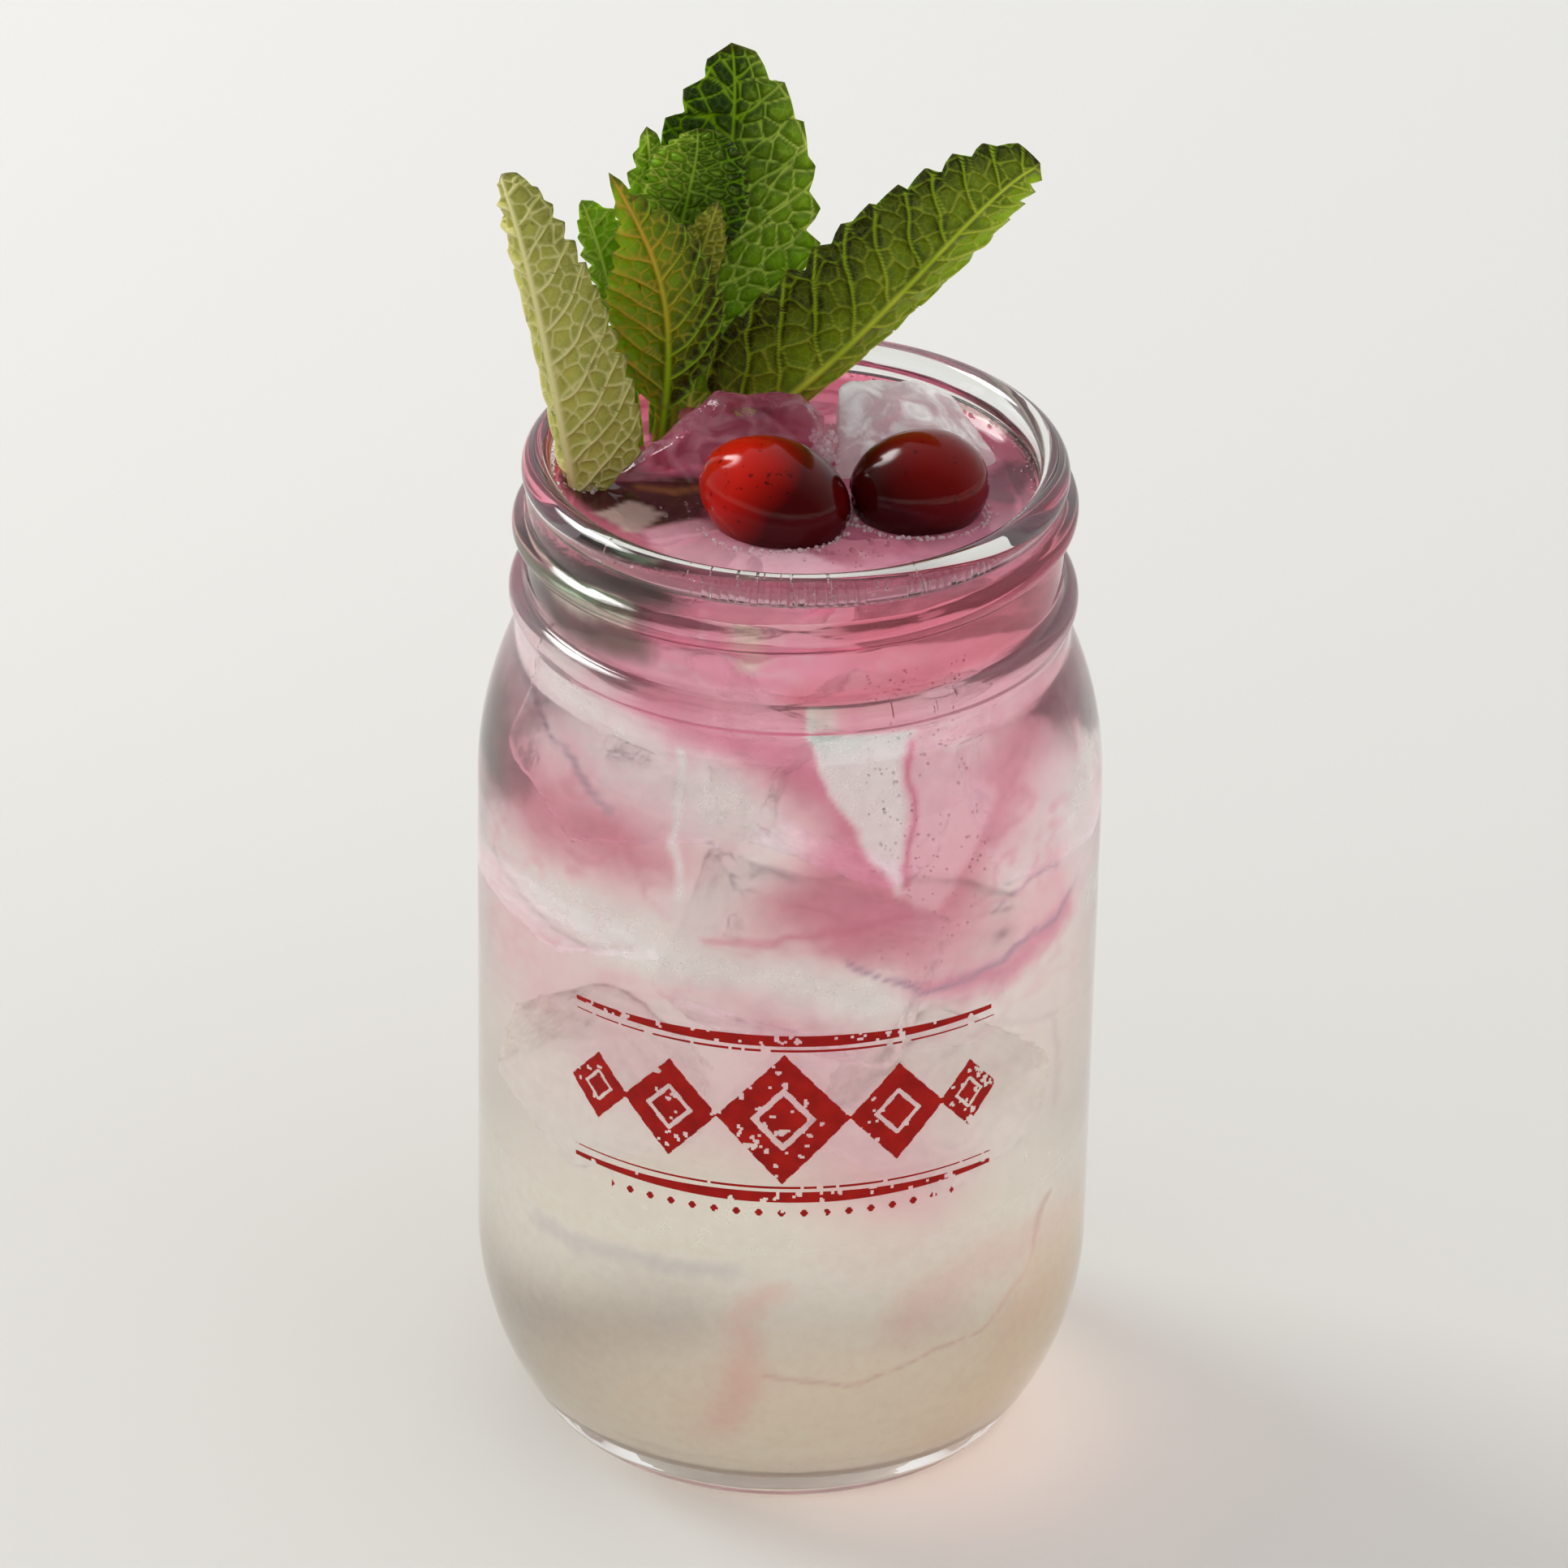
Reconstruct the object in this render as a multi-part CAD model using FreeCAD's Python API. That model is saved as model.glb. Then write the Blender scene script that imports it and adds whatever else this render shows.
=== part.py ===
"""Pint screw-top jar of iced pink mocktail with two cranberries, ice and a sprig of mint.

Millimetres, +Z up. The origin is the centre of the jar's foot, on the surface it stands on.
"""
import FreeCAD, Part
import math
import os
from collections import namedtuple

from FreeCAD import Vector

Vector2d = FreeCAD.Base.Vector2d

# Jar: a pint jar with a regular 70 mm screw finish
JAR_HEIGHT = 134.0
BODY_RADIUS = 39.15
HEEL_TOP = 24.0          # where the rounded heel meets the straight side
SHOULDER_START = 89.0    # where the straight side meets the shoulder
SHOULDER_END = 109.5
FOOT_RADIUS = 31.6       # outer edge of the rounded foot
FOOT_ROUND = 2.0
FOOT_RING_INNER = 27.0   # inner edge of the ring that the jar stands on
FOOT_HOLLOW = 1.6        # height of the hollow under the foot
NECK_RADIUS = 34.3
ROOT_RADIUS = 33.2       # glass between the ring, the thread and the lip
LIP_RADIUS = 33.6
MOUTH_RADIUS = 30.0
LIP_HEIGHT = 3.4
RING_Z = 115.4           # flat ring that a lid's skirt meets
RING_RADIUS = 35.2
RING_HALF_HEIGHT = 1.9

# Screw thread: one start, right hand
THREAD_LEAD = 6.35
THREAD_CREST = 34.85
THREAD_ROUND = 1.75      # radius of the bead's section
THREAD_START_DEG = 80.0
THREAD_TURN_DEG = 400.0
THREAD_Z_AT_180 = 124.4  # height of the bead on the -X side
THREAD_FADE_DEG = 35.0   # stretch in which each end sinks into the neck

# Inside of the jar
WALL = 3.2
BASE_THICKNESS = 4.6
INNER_HEEL_ROUND = 9.0     # width of the curve between floor and side
MOUTH_DRAFT = 0.3        # how much narrower the mouth is below the shoulder
LIP_INNER_ROUND = 1.6
INNER_SHOULDER_LIFT = 1.5  # how far above the outer shoulder the inner one ends

# Contents
DRINK_LEVEL = 127.5
MENISCUS_RISE = 0.8
MENISCUS_WIDTH = 1.6

# Leaves
LEAF_THICKNESS = 0.5
STALK_HALF_WIDTH = 0.8
RIB_BEND = 1.6           # distance from the midrib over which a half folds back
MARGIN_WAVES = 2.2       # waves of the margin along the midrib
POLES_ALONG = 18
POLES_ACROSS = 15


def revolve(outline):
    """Solid of revolution about Z of a closed outline of edges in the XZ plane."""
    face = Part.Face(Part.Wire(Part.__sortEdges__(outline)))
    return face.revolve(Vector(0, 0, 0), Vector(0, 0, 1), 360)


def line(a, b):
    return Part.LineSegment(Vector(a[0], 0, a[1]), Vector(b[0], 0, b[1])).toShape()


def arc(a, middle, b):
    return Part.Arc(*[Vector(p[0], 0, p[1]) for p in (a, middle, b)]).toShape()


def tangent_middle(start, end):
    """Middle of the arc from start to end that leaves start straight up or down.

    The arc's centre is level with start, so its radius follows from the chord.
    """
    dr, dz = start[0] - end[0], end[1] - start[1]
    radius = (dr * dr + dz * dz) / (2 * dr)
    half = math.atan2(abs(dz), radius - dr) / 2
    sign = 1 if dz > 0 else -1
    return start[0] - radius * (1 - math.cos(half)), start[1] + sign * radius * math.sin(half)


def outer_body():
    """The jar's outer form as a full solid, without the thread."""
    lip_base = JAR_HEIGHT - LIP_HEIGHT
    foot_corner = (FOOT_RADIUS + 0.7, FOOT_ROUND)
    heel_middle = tangent_middle((BODY_RADIUS, HEEL_TOP), foot_corner)
    shoulder_end = (NECK_RADIUS + 0.1, SHOULDER_END)
    shoulder_middle = tangent_middle((BODY_RADIUS, SHOULDER_START), shoulder_end)
    ring_low, ring_high = RING_Z - RING_HALF_HEIGHT, RING_Z + RING_HALF_HEIGHT
    lip_bulge = LIP_HEIGHT * 0.55
    edges = [
        line((0, FOOT_HOLLOW), (FOOT_RING_INNER - 2, FOOT_HOLLOW)),
        line((FOOT_RING_INNER - 2, FOOT_HOLLOW), (FOOT_RING_INNER, 0)),
        line((FOOT_RING_INNER, 0), (FOOT_RADIUS - FOOT_ROUND, 0)),
        arc((FOOT_RADIUS - FOOT_ROUND, 0), (FOOT_RADIUS - 0.25, 0.75), foot_corner),
        arc(foot_corner, heel_middle, (BODY_RADIUS, HEEL_TOP)),
        line((BODY_RADIUS, HEEL_TOP), (BODY_RADIUS, SHOULDER_START)),
        arc((BODY_RADIUS, SHOULDER_START), shoulder_middle, shoulder_end),
        line(shoulder_end, (NECK_RADIUS, ring_low)),
        arc((NECK_RADIUS, ring_low), (RING_RADIUS, RING_Z), (ROOT_RADIUS + 0.4, ring_high)),
        line((ROOT_RADIUS + 0.4, ring_high), (ROOT_RADIUS, ring_high + 1.2)),
        line((ROOT_RADIUS, ring_high + 1.2), (ROOT_RADIUS, lip_base)),
        arc((ROOT_RADIUS, lip_base), (LIP_RADIUS, lip_base + lip_bulge), (LIP_RADIUS - 1.6, JAR_HEIGHT)),
        line((LIP_RADIUS - 1.6, JAR_HEIGHT), (0, JAR_HEIGHT)),
        line((0, JAR_HEIGHT), (0, FOOT_HOLLOW)),
    ]
    return revolve(edges)


def mouth_radius_at(z):
    """Inner radius of the neck, which opens slightly towards the lip."""
    below = SHOULDER_END + INNER_SHOULDER_LIFT
    share = (z - below) / (JAR_HEIGHT - below)
    return MOUTH_RADIUS - MOUTH_DRAFT * (1 - share)


def inner_outline(top):
    """Edges of the jar's inside from the axis at the floor up to the wall at the given height."""
    r_body = BODY_RADIUS - WALL
    heel = (r_body, HEEL_TOP + 1)
    floor_end = (r_body - INNER_HEEL_ROUND, BASE_THICKNESS)
    shoulder = (r_body, SHOULDER_START - 2)
    neck_z = SHOULDER_END + INNER_SHOULDER_LIFT
    neck = (mouth_radius_at(neck_z), neck_z)
    return [
        line((0, BASE_THICKNESS), floor_end),
        arc(floor_end, tangent_middle(heel, floor_end), heel),
        line(heel, shoulder),
        arc(shoulder, tangent_middle(shoulder, neck), neck),
        line(neck, (mouth_radius_at(top), top)),
    ]


def cavity():
    """The hollow of the jar, with the lip's inner edge rounded over."""
    round_start = JAR_HEIGHT - LIP_INNER_ROUND
    over = (MOUTH_RADIUS + LIP_INNER_ROUND, JAR_HEIGHT)
    middle = (MOUTH_RADIUS + 0.28 * LIP_INNER_ROUND, JAR_HEIGHT - 0.29 * LIP_INNER_ROUND)
    edges = inner_outline(round_start)
    edges += [
        arc((mouth_radius_at(round_start), round_start), middle, over),
        line(over, (0, JAR_HEIGHT)),
        line((0, JAR_HEIGHT), (0, BASE_THICKNESS)),
    ]
    return revolve(edges)


def thread_bead():
    """Round bead swept up a helix, whose ends sink into the neck."""
    steps = 48
    seat = THREAD_CREST - THREAD_ROUND
    points = []
    for i in range(steps + 1):
        turned = THREAD_TURN_DEG * i / steps
        from_end = min(turned, THREAD_TURN_DEG - turned) / THREAD_FADE_DEG
        sunk = 1.3 * max(0.0, 1 - from_end) ** 2
        angle = THREAD_START_DEG + turned
        z = THREAD_Z_AT_180 + THREAD_LEAD * (angle - 180) / 360
        radius = seat - sunk
        a = math.radians(angle)
        points.append(Vector(radius * math.cos(a), radius * math.sin(a), z))
    path = Part.BSplineCurve()
    path.interpolate(points)
    start = path.parameter(points[0])
    section = Part.Circle(points[0], path.tangent(start)[0], THREAD_ROUND).toShape()
    return Part.Wire([path.toShape()]).makePipeShell([Part.Wire([section])], True, False)


def glass_jar():
    blank = outer_body().fuse(thread_bead())
    return blank.cut(cavity()).removeSplitter()


def drink_blank():
    """Drink up to its level, with the rim that creeps up the glass."""
    rim_z = DRINK_LEVEL + MENISCUS_RISE
    r_rim = mouth_radius_at(rim_z)
    inner = r_rim - MENISCUS_WIDTH
    edges = inner_outline(rim_z)
    edges += [
        arc((r_rim, rim_z), (inner + MENISCUS_WIDTH * 0.62, DRINK_LEVEL + MENISCUS_RISE * 0.28),
            (inner, DRINK_LEVEL)),
        line((inner, DRINK_LEVEL), (0, DRINK_LEVEL)),
        line((0, DRINK_LEVEL), (0, BASE_THICKNESS)),
    ]
    return revolve(edges)


def cranberry(centre, axis, length, width):
    """Egg-shaped berry with a dimple at the stalk and a shallow star cup at the flower end."""
    dimple, dimple_depth = 1.1, 0.7
    points = []
    steps = 14
    for i in range(steps + 1):
        a = math.pi * i / steps
        radius = width / 2 * math.sin(a) * (1 - 0.035 * math.cos(a))
        z = -length / 2 * math.cos(a)
        z -= math.copysign(dimple_depth, z) * math.exp(-(radius / dimple) ** 2)
        points.append(Vector(radius, 0, z))
    side = Part.BSplineCurve()
    side.interpolate(points)
    core = Part.LineSegment(points[-1], points[0]).toShape()
    berry = Part.Face(Part.Wire([side.toShape(), core])).revolve(Vector(), Vector(0, 0, 1), 360)
    berry.Placement = FreeCAD.Placement(centre, FreeCAD.Rotation(Vector(0, 0, 1), axis))
    return berry


def cleave(block, point, normal):
    """Cuts away what lies on the side of the plane that normal points to."""
    reach = 80
    knife = Part.makeBox(2 * reach, 2 * reach, reach, Vector(-reach, -reach, 0))
    knife.Placement = FreeCAD.Placement(Vector(*point), FreeCAD.Rotation(Vector(0, 0, 1), Vector(*normal)))
    return block.cut(knife)


def ice_piece(low, high, cuts, softened):
    """Broken piece of ice: a block cleaved by planes, with its edges melted round."""
    size = [b - a for a, b in zip(low, high)]
    block = Part.makeBox(*size, Vector(*low))
    for point, normal in cuts:
        block = cleave(block, point, normal)
    return block.makeFillet(softened, block.Edges)


# A mint leaf. rib: four Bezier points of the midrib, from the foot to the tip; face_foot and
# face_tip: where the leaf's shown side looks; left, right: widest half widths; fold_*: angle by
# which that half folds back at the foot and at the tip; widest, blunt: outline's exponents;
# stalk: share of the midrib without blade; teeth: number on each side, and their depth;
# wave: how far the margin waves; turn: shifts the waves and the uneven teeth.
Leaf = namedtuple("Leaf", "rib face_foot face_tip left right fold_left fold_right"
                  " widest blunt stalk teeth depth wave turn")

LEAVES = {
    "mint_left": Leaf(
        [(-26.6, 1.0, 125.0), (-28.0, 0.5, 134.0), (-32.3, -4.5, 163.8), (-36.3, 5.0, 168.5)],
        (-0.3, -1, 0.1), (-0.3, -1, 0.1), 8.5, 9.8, (98, 62), (25, 52),
        0.42, 0.50, 0.11, 14, 1.1, 0.5, 1.1),
    "mint_front": Leaf(
        [(-17.3, 10.8, 125.0), (-15.5, 6.5, 145.0), (-14.0, 6.0, 153.0), (-23.4, 7.0, 168.0)],
        (0, -1, 0.1), (0, -1, 0.1), 8.2, 8.7, (10, 20), (40, 42),
        0.72, 1.0, 0.17, 12, 1.2, 0.4, 2.3),
    "mint_small_left": Leaf(
        [(-19.5, 13.0, 125.0), (-20.5, 11.5, 140.0), (-24.0, 11.0, 156.0), (-26.8, 10.5, 162.5)],
        (0, -1, 0.1), (0, -1, 0.1), 2.7, 5.5, (20, 15), (20, 15),
        0.85, 0.75, 0.42, 7, 1.2, 0.2, 0.4),
    "mint_small_front": Leaf(
        [(-15.5, 12.8, 125.0), (-15.3, 13.2, 144.0), (-12.5, 12.4, 153.6), (-10.1, 12.4, 161.8)],
        (0, -1, 0.1), (0, -1, 0.1), 3.2, 3.2, (25, 25), (35, 30),
        0.90, 0.80, 0.45, 7, 0.7, 0.1, 3.0),
    "mint_centre": Leaf(
        [(-17.5, 16.2, 125.0), (-17.8, 15.8, 152.0), (-12.0, 15.2, 163.5), (-12.9, 19.2, 168.3)],
        (0, -1, 0.2), (0, -0.9, 0.5), 6.2, 7.7, (-12, -5), (-12, -5),
        0.85, 0.48, 0.35, 12, 0.9, 0.2, 4.2),
    "mint_centre_behind": Leaf(
        [(-15.5, 19.0, 125.0), (-18.9, 19.4, 142.5), (-17.8, 19.3, 157.5), (-19.1, 19.0, 168.5)],
        (0, -1, 0.2), (0, -1, 0.2), 4.2, 6.0, (10, 5), (10, 5),
        0.80, 0.75, 0.30, 9, 1.0, 0.2, 5.5),
    "mint_back": Leaf(
        [(-13.5, 21.8, 124.5), (-14.0, 24.0, 136.5), (-6.4, 25.1, 160.8), (-8.9, 21.8, 178.8)],
        (0.1, -1, 0.3), (0, -1, 0.2), 12.8, 13.0, (-5, 0), (-5, 5),
        0.72, 0.60, 0.13, 10, 1.7, 0.5, 0.9),
    "mint_right": Leaf(
        [(-10.5, 18.5, 124.5), (9.4, 16.0, 139.5), (20.2, 8.5, 165.0), (28.9, 9.5, 169.2)],
        (0, -1, 0.2), (0, -1, 0.1), 12.3, 8.2, (5, 0), (94, 36),
        0.48, 0.42, 0.05, 12, 1.4, 0.6, 2.0),
}


def unit(v):
    return v / v.Length


def mix(a, b, share):
    return a * (1 - share) + b * share


def rib_frame(leaf, u):
    """Point on the midrib with the directions along it, to the right and out of its face."""
    p = [Vector(*q) for q in leaf.rib]
    w = 1 - u
    point = p[0] * w ** 3 + p[1] * (3 * w * w * u) + p[2] * (3 * w * u * u) + p[3] * u ** 3
    along = unit((p[1] - p[0]) * (w * w) + (p[2] - p[1]) * (2 * w * u) + (p[3] - p[2]) * (u * u))
    right = unit(along.cross(mix(Vector(*leaf.face_foot), Vector(*leaf.face_tip), u)))
    return point, right, right.cross(along)


def across(distance, fold):
    """How far a half reaches sideways and back at a distance along it from the midrib."""
    side = back = 0.0
    steps = 16
    step = distance / steps
    for i in range(steps):
        angle = fold * (1 - math.exp(-(i + 0.5) * step / RIB_BEND))
        side += step * math.cos(angle)
        back += step * math.sin(angle)
    return side, back


def blade_point(leaf, u, s, lift):
    """Point of the blade at share u of the midrib and s mm to its right, raised by lift."""
    point, right, out = rib_frame(leaf, u)
    pair = leaf.fold_right if s >= 0 else leaf.fold_left
    fold = math.radians(mix(pair[0], pair[1], u))
    side, back = across(abs(s), fold)
    turned = fold * (1 - math.exp(-abs(s) / RIB_BEND))
    sign = 1 if s >= 0 else -1
    normal = out * math.cos(turned) + right * (sign * math.sin(turned))
    wave = leaf.wave * math.sin(math.tau * MARGIN_WAVES * u + leaf.turn + sign)
    wave *= (s / max(leaf.left, leaf.right)) ** 2
    return point + right * (sign * side) - out * (back + wave) + normal * lift


def knots(count):
    return [i / (count - 3) for i in range(count - 2)]


def greville(count):
    """Parameters at which evenly knotted cubic poles reproduce a straight line."""
    padded = [0.0] * 3 + knots(count) + [1.0] * 3
    return [sum(padded[i + 1:i + 4]) / 3 for i in range(count)]


def blade_surface(leaf, reach, lift):
    """Cubic surface of the untrimmed blade: along the midrib, then from left to right."""
    poles = [[blade_point(leaf, u, (2 * v - 1) * reach, lift) for v in greville(POLES_ACROSS)]
             for u in greville(POLES_ALONG)]
    ends_u = [4] + [1] * (POLES_ALONG - 4) + [4]
    ends_v = [4] + [1] * (POLES_ACROSS - 4) + [4]
    surface = Part.BSplineSurface()
    surface.buildFromPolesMultsKnots(
        poles, ends_u, ends_v, knots(POLES_ALONG), knots(POLES_ACROSS), False, False, 3, 3)
    return surface


def half_width(leaf, u, widest_half):
    share = min(max((u - leaf.stalk) / (1 - leaf.stalk), 0.0), 1.0)
    width = widest_half * max(math.sin(math.pi * share ** leaf.widest), 0.0) ** leaf.blunt
    return max(width, STALK_HALF_WIDTH if u < 0.5 else 0.0)


def uneven(leaf, tooth, sign):
    """A number from -1 to 1 that differs from tooth to tooth and from half to half."""
    return math.sin(5.1 * tooth + leaf.turn + sign)


def toothed_edge(leaf, widest_half, sign):
    """Margin of one half as (u, s) corners: notch and forward-pointing tooth in turn."""
    corners = [(0.0, sign * STALK_HALF_WIDTH)]
    start, end = leaf.stalk + 0.02, 0.985
    for i in range(leaf.teeth):
        notch_at = i + (0.12 * uneven(leaf, i, sign) if i else 0)
        tip_at = i + 0.80 + 0.08 * uneven(leaf, i + 3, sign)
        notch, tip = (start + (end - start) * at / leaf.teeth for at in (notch_at, tip_at))
        width = half_width(leaf, notch, widest_half)
        depth = leaf.depth * (0.8 + 0.4 * uneven(leaf, i + 1, sign)) * min(1.0, width / 3)
        corners.append((notch, sign * max(width - depth, 0.5)))
        corners.append((tip, sign * half_width(leaf, tip, widest_half)))
    return corners


def mint_leaf(leaf):
    """Closed solid between two trimmed surfaces, with a flat wall along each tooth's edges."""
    reach = max(leaf.left, leaf.right) + 0.6
    right = toothed_edge(leaf, leaf.right, 1)
    left = toothed_edge(leaf, leaf.left, -1)
    outline = right + [(0.998, 0.0)] + left[::-1]
    corners = [Vector2d(u, (s / reach + 1) / 2) for u, s in outline]
    sides = [Part.Geom2d.Line2dSegment(a, b) for a, b in zip(corners, corners[1:] + corners[:1])]
    faces, rims = [], []
    for lift in (-LEAF_THICKNESS / 2, LEAF_THICKNESS / 2):
        surface = blade_surface(leaf, reach, lift)
        rim = [side.toShape(surface) for side in sides]
        face = Part.Face(surface, Part.Wire(rim))
        face.validate()
        faces.append(face)
        rims.append(rim)
    walls = [Part.makeRuledSurface(low, high) for low, high in zip(*rims)]
    shell = Part.makeShell(faces + walls)
    shell.sewShape()
    solid = Part.Solid(shell)
    if solid.Volume < 0:
        solid.reverse()
    return solid


def export(name, shape):
    solid = shape.Solids[0]
    good = shape.isValid() and len(shape.Solids) == 1
    print(f"{name}: valid {good}, {solid.Volume / 1000:.2f} cm3, {len(solid.Faces)} faces")
    solid.exportStep(f"parts/{name}.step")


def main():
    os.makedirs("parts", exist_ok=True)
    pieces = {
        "cranberry_left": cranberry(Vector(-2.6, -6.2, 131.0), Vector(0.923, -0.192, -0.333), 19.2, 14.7),
        "cranberry_right": cranberry(Vector(15.1, -2.9, 131.0), Vector(0.98, 0.1, 0.12), 17.3, 14.1),
        "ice_left": ice_piece((-24, 3.5, 108), (3.5, 11.5, 136.6), [
            ((-21.5, 7, 129), (-0.55, -0.1, 0.83)), ((-14, 5, 133.5), (-0.35, -0.25, 0.9)),
            ((-7, 5.5, 134.5), (0.02, -0.75, 0.66)), ((2, 8, 135), (0.75, 0, 0.66)),
            ((-23, 5, 118), (-0.9, -0.2, -0.3)), ((2, 5, 116), (0.8, -0.4, -0.4)),
            ((-14, 9.3, 128), (-0.45, 0.89, 0.0))], 0.3),
        "ice_right": ice_piece((4.8, 4.6, 110), (27, 21, 138.2), [
            ((5.5, 5, 127.5), (0.15, -0.76, 0.64)), ((5, 14, 138), (0.42, -0.1, 0.9)),
            ((5, 13.6, 136), (-0.5, 0.8, 0.33)), ((24, 12, 120), (0.8, 0.55, -0.1)),
            ((10, 20, 118), (0.2, 0.8, -0.5))], 0.7),
    }
    for name, leaf in LEAVES.items():
        pieces[name] = mint_leaf(leaf)
    drink = drink_blank()
    for piece in pieces.values():
        drink = drink.cut(piece)
    export("glass_jar", glass_jar())
    export("drink", drink)
    for name, piece in pieces.items():
        export(name, piece)


main()
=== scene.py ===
"""Iced pink mocktail in a screw-top jar, with cranberries, ice and mint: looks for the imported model."""
import logging
import math
from dataclasses import dataclass
from enum import Enum

import bmesh
import bpy
import numpy as np
from mathutils import Euler, Matrix, Vector, noise


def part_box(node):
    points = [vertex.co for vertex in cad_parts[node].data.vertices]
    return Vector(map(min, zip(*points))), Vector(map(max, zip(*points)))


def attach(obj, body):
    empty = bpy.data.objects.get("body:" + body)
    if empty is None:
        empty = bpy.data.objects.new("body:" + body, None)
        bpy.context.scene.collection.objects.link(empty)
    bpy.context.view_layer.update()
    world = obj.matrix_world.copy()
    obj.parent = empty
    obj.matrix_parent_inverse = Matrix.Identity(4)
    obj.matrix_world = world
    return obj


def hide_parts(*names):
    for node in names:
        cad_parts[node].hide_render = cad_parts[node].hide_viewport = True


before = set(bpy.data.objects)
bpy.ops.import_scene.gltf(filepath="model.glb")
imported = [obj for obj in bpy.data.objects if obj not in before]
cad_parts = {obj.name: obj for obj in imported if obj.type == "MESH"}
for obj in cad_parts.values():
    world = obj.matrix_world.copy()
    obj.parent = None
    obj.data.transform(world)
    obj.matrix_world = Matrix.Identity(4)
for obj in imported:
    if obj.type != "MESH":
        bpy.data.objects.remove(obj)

LOG = logging.getLogger("mocktail")
MM = 0.001
BODY = "root"


def srgb(code: str, alpha: float = 1.0) -> tuple[float, float, float, float]:
    """Turns an sRGB hex colour to linear.

    Args:
        code: six hex digits, with or without a leading hash.
        alpha: opacity to append.

    Returns:
        Linear red, green, blue and alpha.
    """
    code = code.lstrip("#")
    parts = [int(code[i:i + 2], 16) / 255 for i in (0, 2, 4)]
    linear = [p / 12.92 if p <= 0.04045 else ((p + 0.055) / 1.055) ** 2.4 for p in parts]
    return (*linear, alpha)


def add(tree: bpy.types.NodeTree, kind: str, links: dict | None = None, **settings) -> bpy.types.Node:
    """Adds a shader node with its settings, input values and incoming links.

    Args:
        tree: node tree to add to.
        kind: Blender's identifier of the node.
        links: input name or index to a value, or to the output socket that feeds it.
        settings: properties of the node itself.

    Returns:
        The new node.
    """
    made = tree.nodes.new(kind)
    for key, value in settings.items():
        setattr(made, key, value)
    for socket, source in (links or {}).items():
        if isinstance(source, bpy.types.NodeSocket):
            tree.links.new(source, made.inputs[socket])
        else:
            made.inputs[socket].default_value = source
    return made


def new_material(name: str) -> tuple[bpy.types.Material, bpy.types.NodeTree]:
    """Makes an empty node material.

    Args:
        name: the material's name.

    Returns:
        The material and its cleared node tree.
    """
    material = bpy.data.materials.new(name)
    material.use_nodes = True
    material.node_tree.nodes.clear()
    return material, material.node_tree


def ramp(tree: bpy.types.NodeTree, factor: bpy.types.NodeSocket, stops: list | tuple,
         ) -> bpy.types.NodeSocket:
    """Colours a factor by stops.

    Args:
        tree: node tree to add to.
        factor: the value from 0 to 1 that picks the colour.
        stops: positions with sRGB hex colours, in rising order.

    Returns:
        The colour output.
    """
    node = add(tree, "ShaderNodeValToRGB", {"Fac": factor})
    band = node.color_ramp
    while len(band.elements) < len(stops):
        band.elements.new(1.0)
    for element, (place, code) in zip(band.elements, stops):
        element.position = place
        element.color = srgb(code)
    return node.outputs["Color"]


def mesh_object(name: str, points: np.ndarray, faces: list, material: bpy.types.Material,
                smooth: bool = True) -> bpy.types.Object:
    """Makes a mesh object from points in millimetres.

    Args:
        name: the piece's name.
        points: N by 3 array of places in millimetres.
        faces: vertex indices of each face.
        material: the finish.
        smooth: whether faces are shaded smooth.

    Returns:
        The linked object.
    """
    mesh = bpy.data.meshes.new(name)
    mesh.from_pydata((np.asarray(points, float) * MM).tolist(), [], faces)
    mesh.validate()
    mesh.update()
    if smooth:
        mesh.shade_smooth()
    mesh.materials.append(material)
    made = bpy.data.objects.new(name, mesh)
    bpy.context.scene.collection.objects.link(made)
    return made


def store(piece: bpy.types.Object, name: str, values: np.ndarray) -> None:
    """Keeps one number for each vertex as a mesh attribute.

    Args:
        piece: the mesh object.
        name: the attribute's name.
        values: one value for each vertex.
    """
    attribute = piece.data.attributes.new(name, "FLOAT", "POINT")
    attribute.data.foreach_set("value", np.asarray(values, np.float32))


def grid_faces(rows: int, columns: int, start: int = 0, wrap: bool = False) -> list:
    """Quads of a grid of vertices stored row by row.

    Args:
        rows: number of rows.
        columns: vertices in each row.
        start: index of the first vertex.
        wrap: whether the last column joins the first.

    Returns:
        The faces' vertex indices.
    """
    faces = []
    for i in range(rows - 1):
        for j in range(columns if wrap else columns - 1):
            k = (j + 1) % columns
            a, b = start + i * columns, start + (i + 1) * columns
            faces.append((a + j, a + k, b + k, b + j))
    return faces


def finish_piece(piece: bpy.types.Object, slot: str, *nodes: str) -> bpy.types.Object:
    """Rides a piece on the body, hides the CAD nodes that it stands for and logs its faces.

    Args:
        piece: the object.
        slot: the record's material slot; not used.
        nodes: CAD nodes that the piece replaces.

    Returns:
        The same object.
    """
    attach(piece, BODY)
    if nodes:
        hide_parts(*nodes)
    LOG.info("%s: %d faces", piece.name, len(piece.data.polygons))
    return piece


def fractal(points: np.ndarray, grain: float, octaves: int = 3, seed: float = 0.0) -> np.ndarray:
    """Smooth random value at each point.

    Args:
        points: N by 3 places in millimetres.
        grain: size of the largest lumps in millimetres.
        octaves: number of finer layers.
        seed: shifts the pattern.

    Returns:
        Values around 0, mostly from -1 to 1.
    """
    scaled = np.asarray(points, float) / grain + seed
    return np.array([noise.fractal(Vector(p), 0.7, 2.1, octaves) for p in scaled.tolist()])


def smooth(value: np.ndarray, low: float, high: float) -> np.ndarray:
    """Smooth step of value from 0 at low to 1 at high."""
    share = np.clip((value - low) / (high - low), 0, 1)
    return share * share * (3 - 2 * share)


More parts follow.
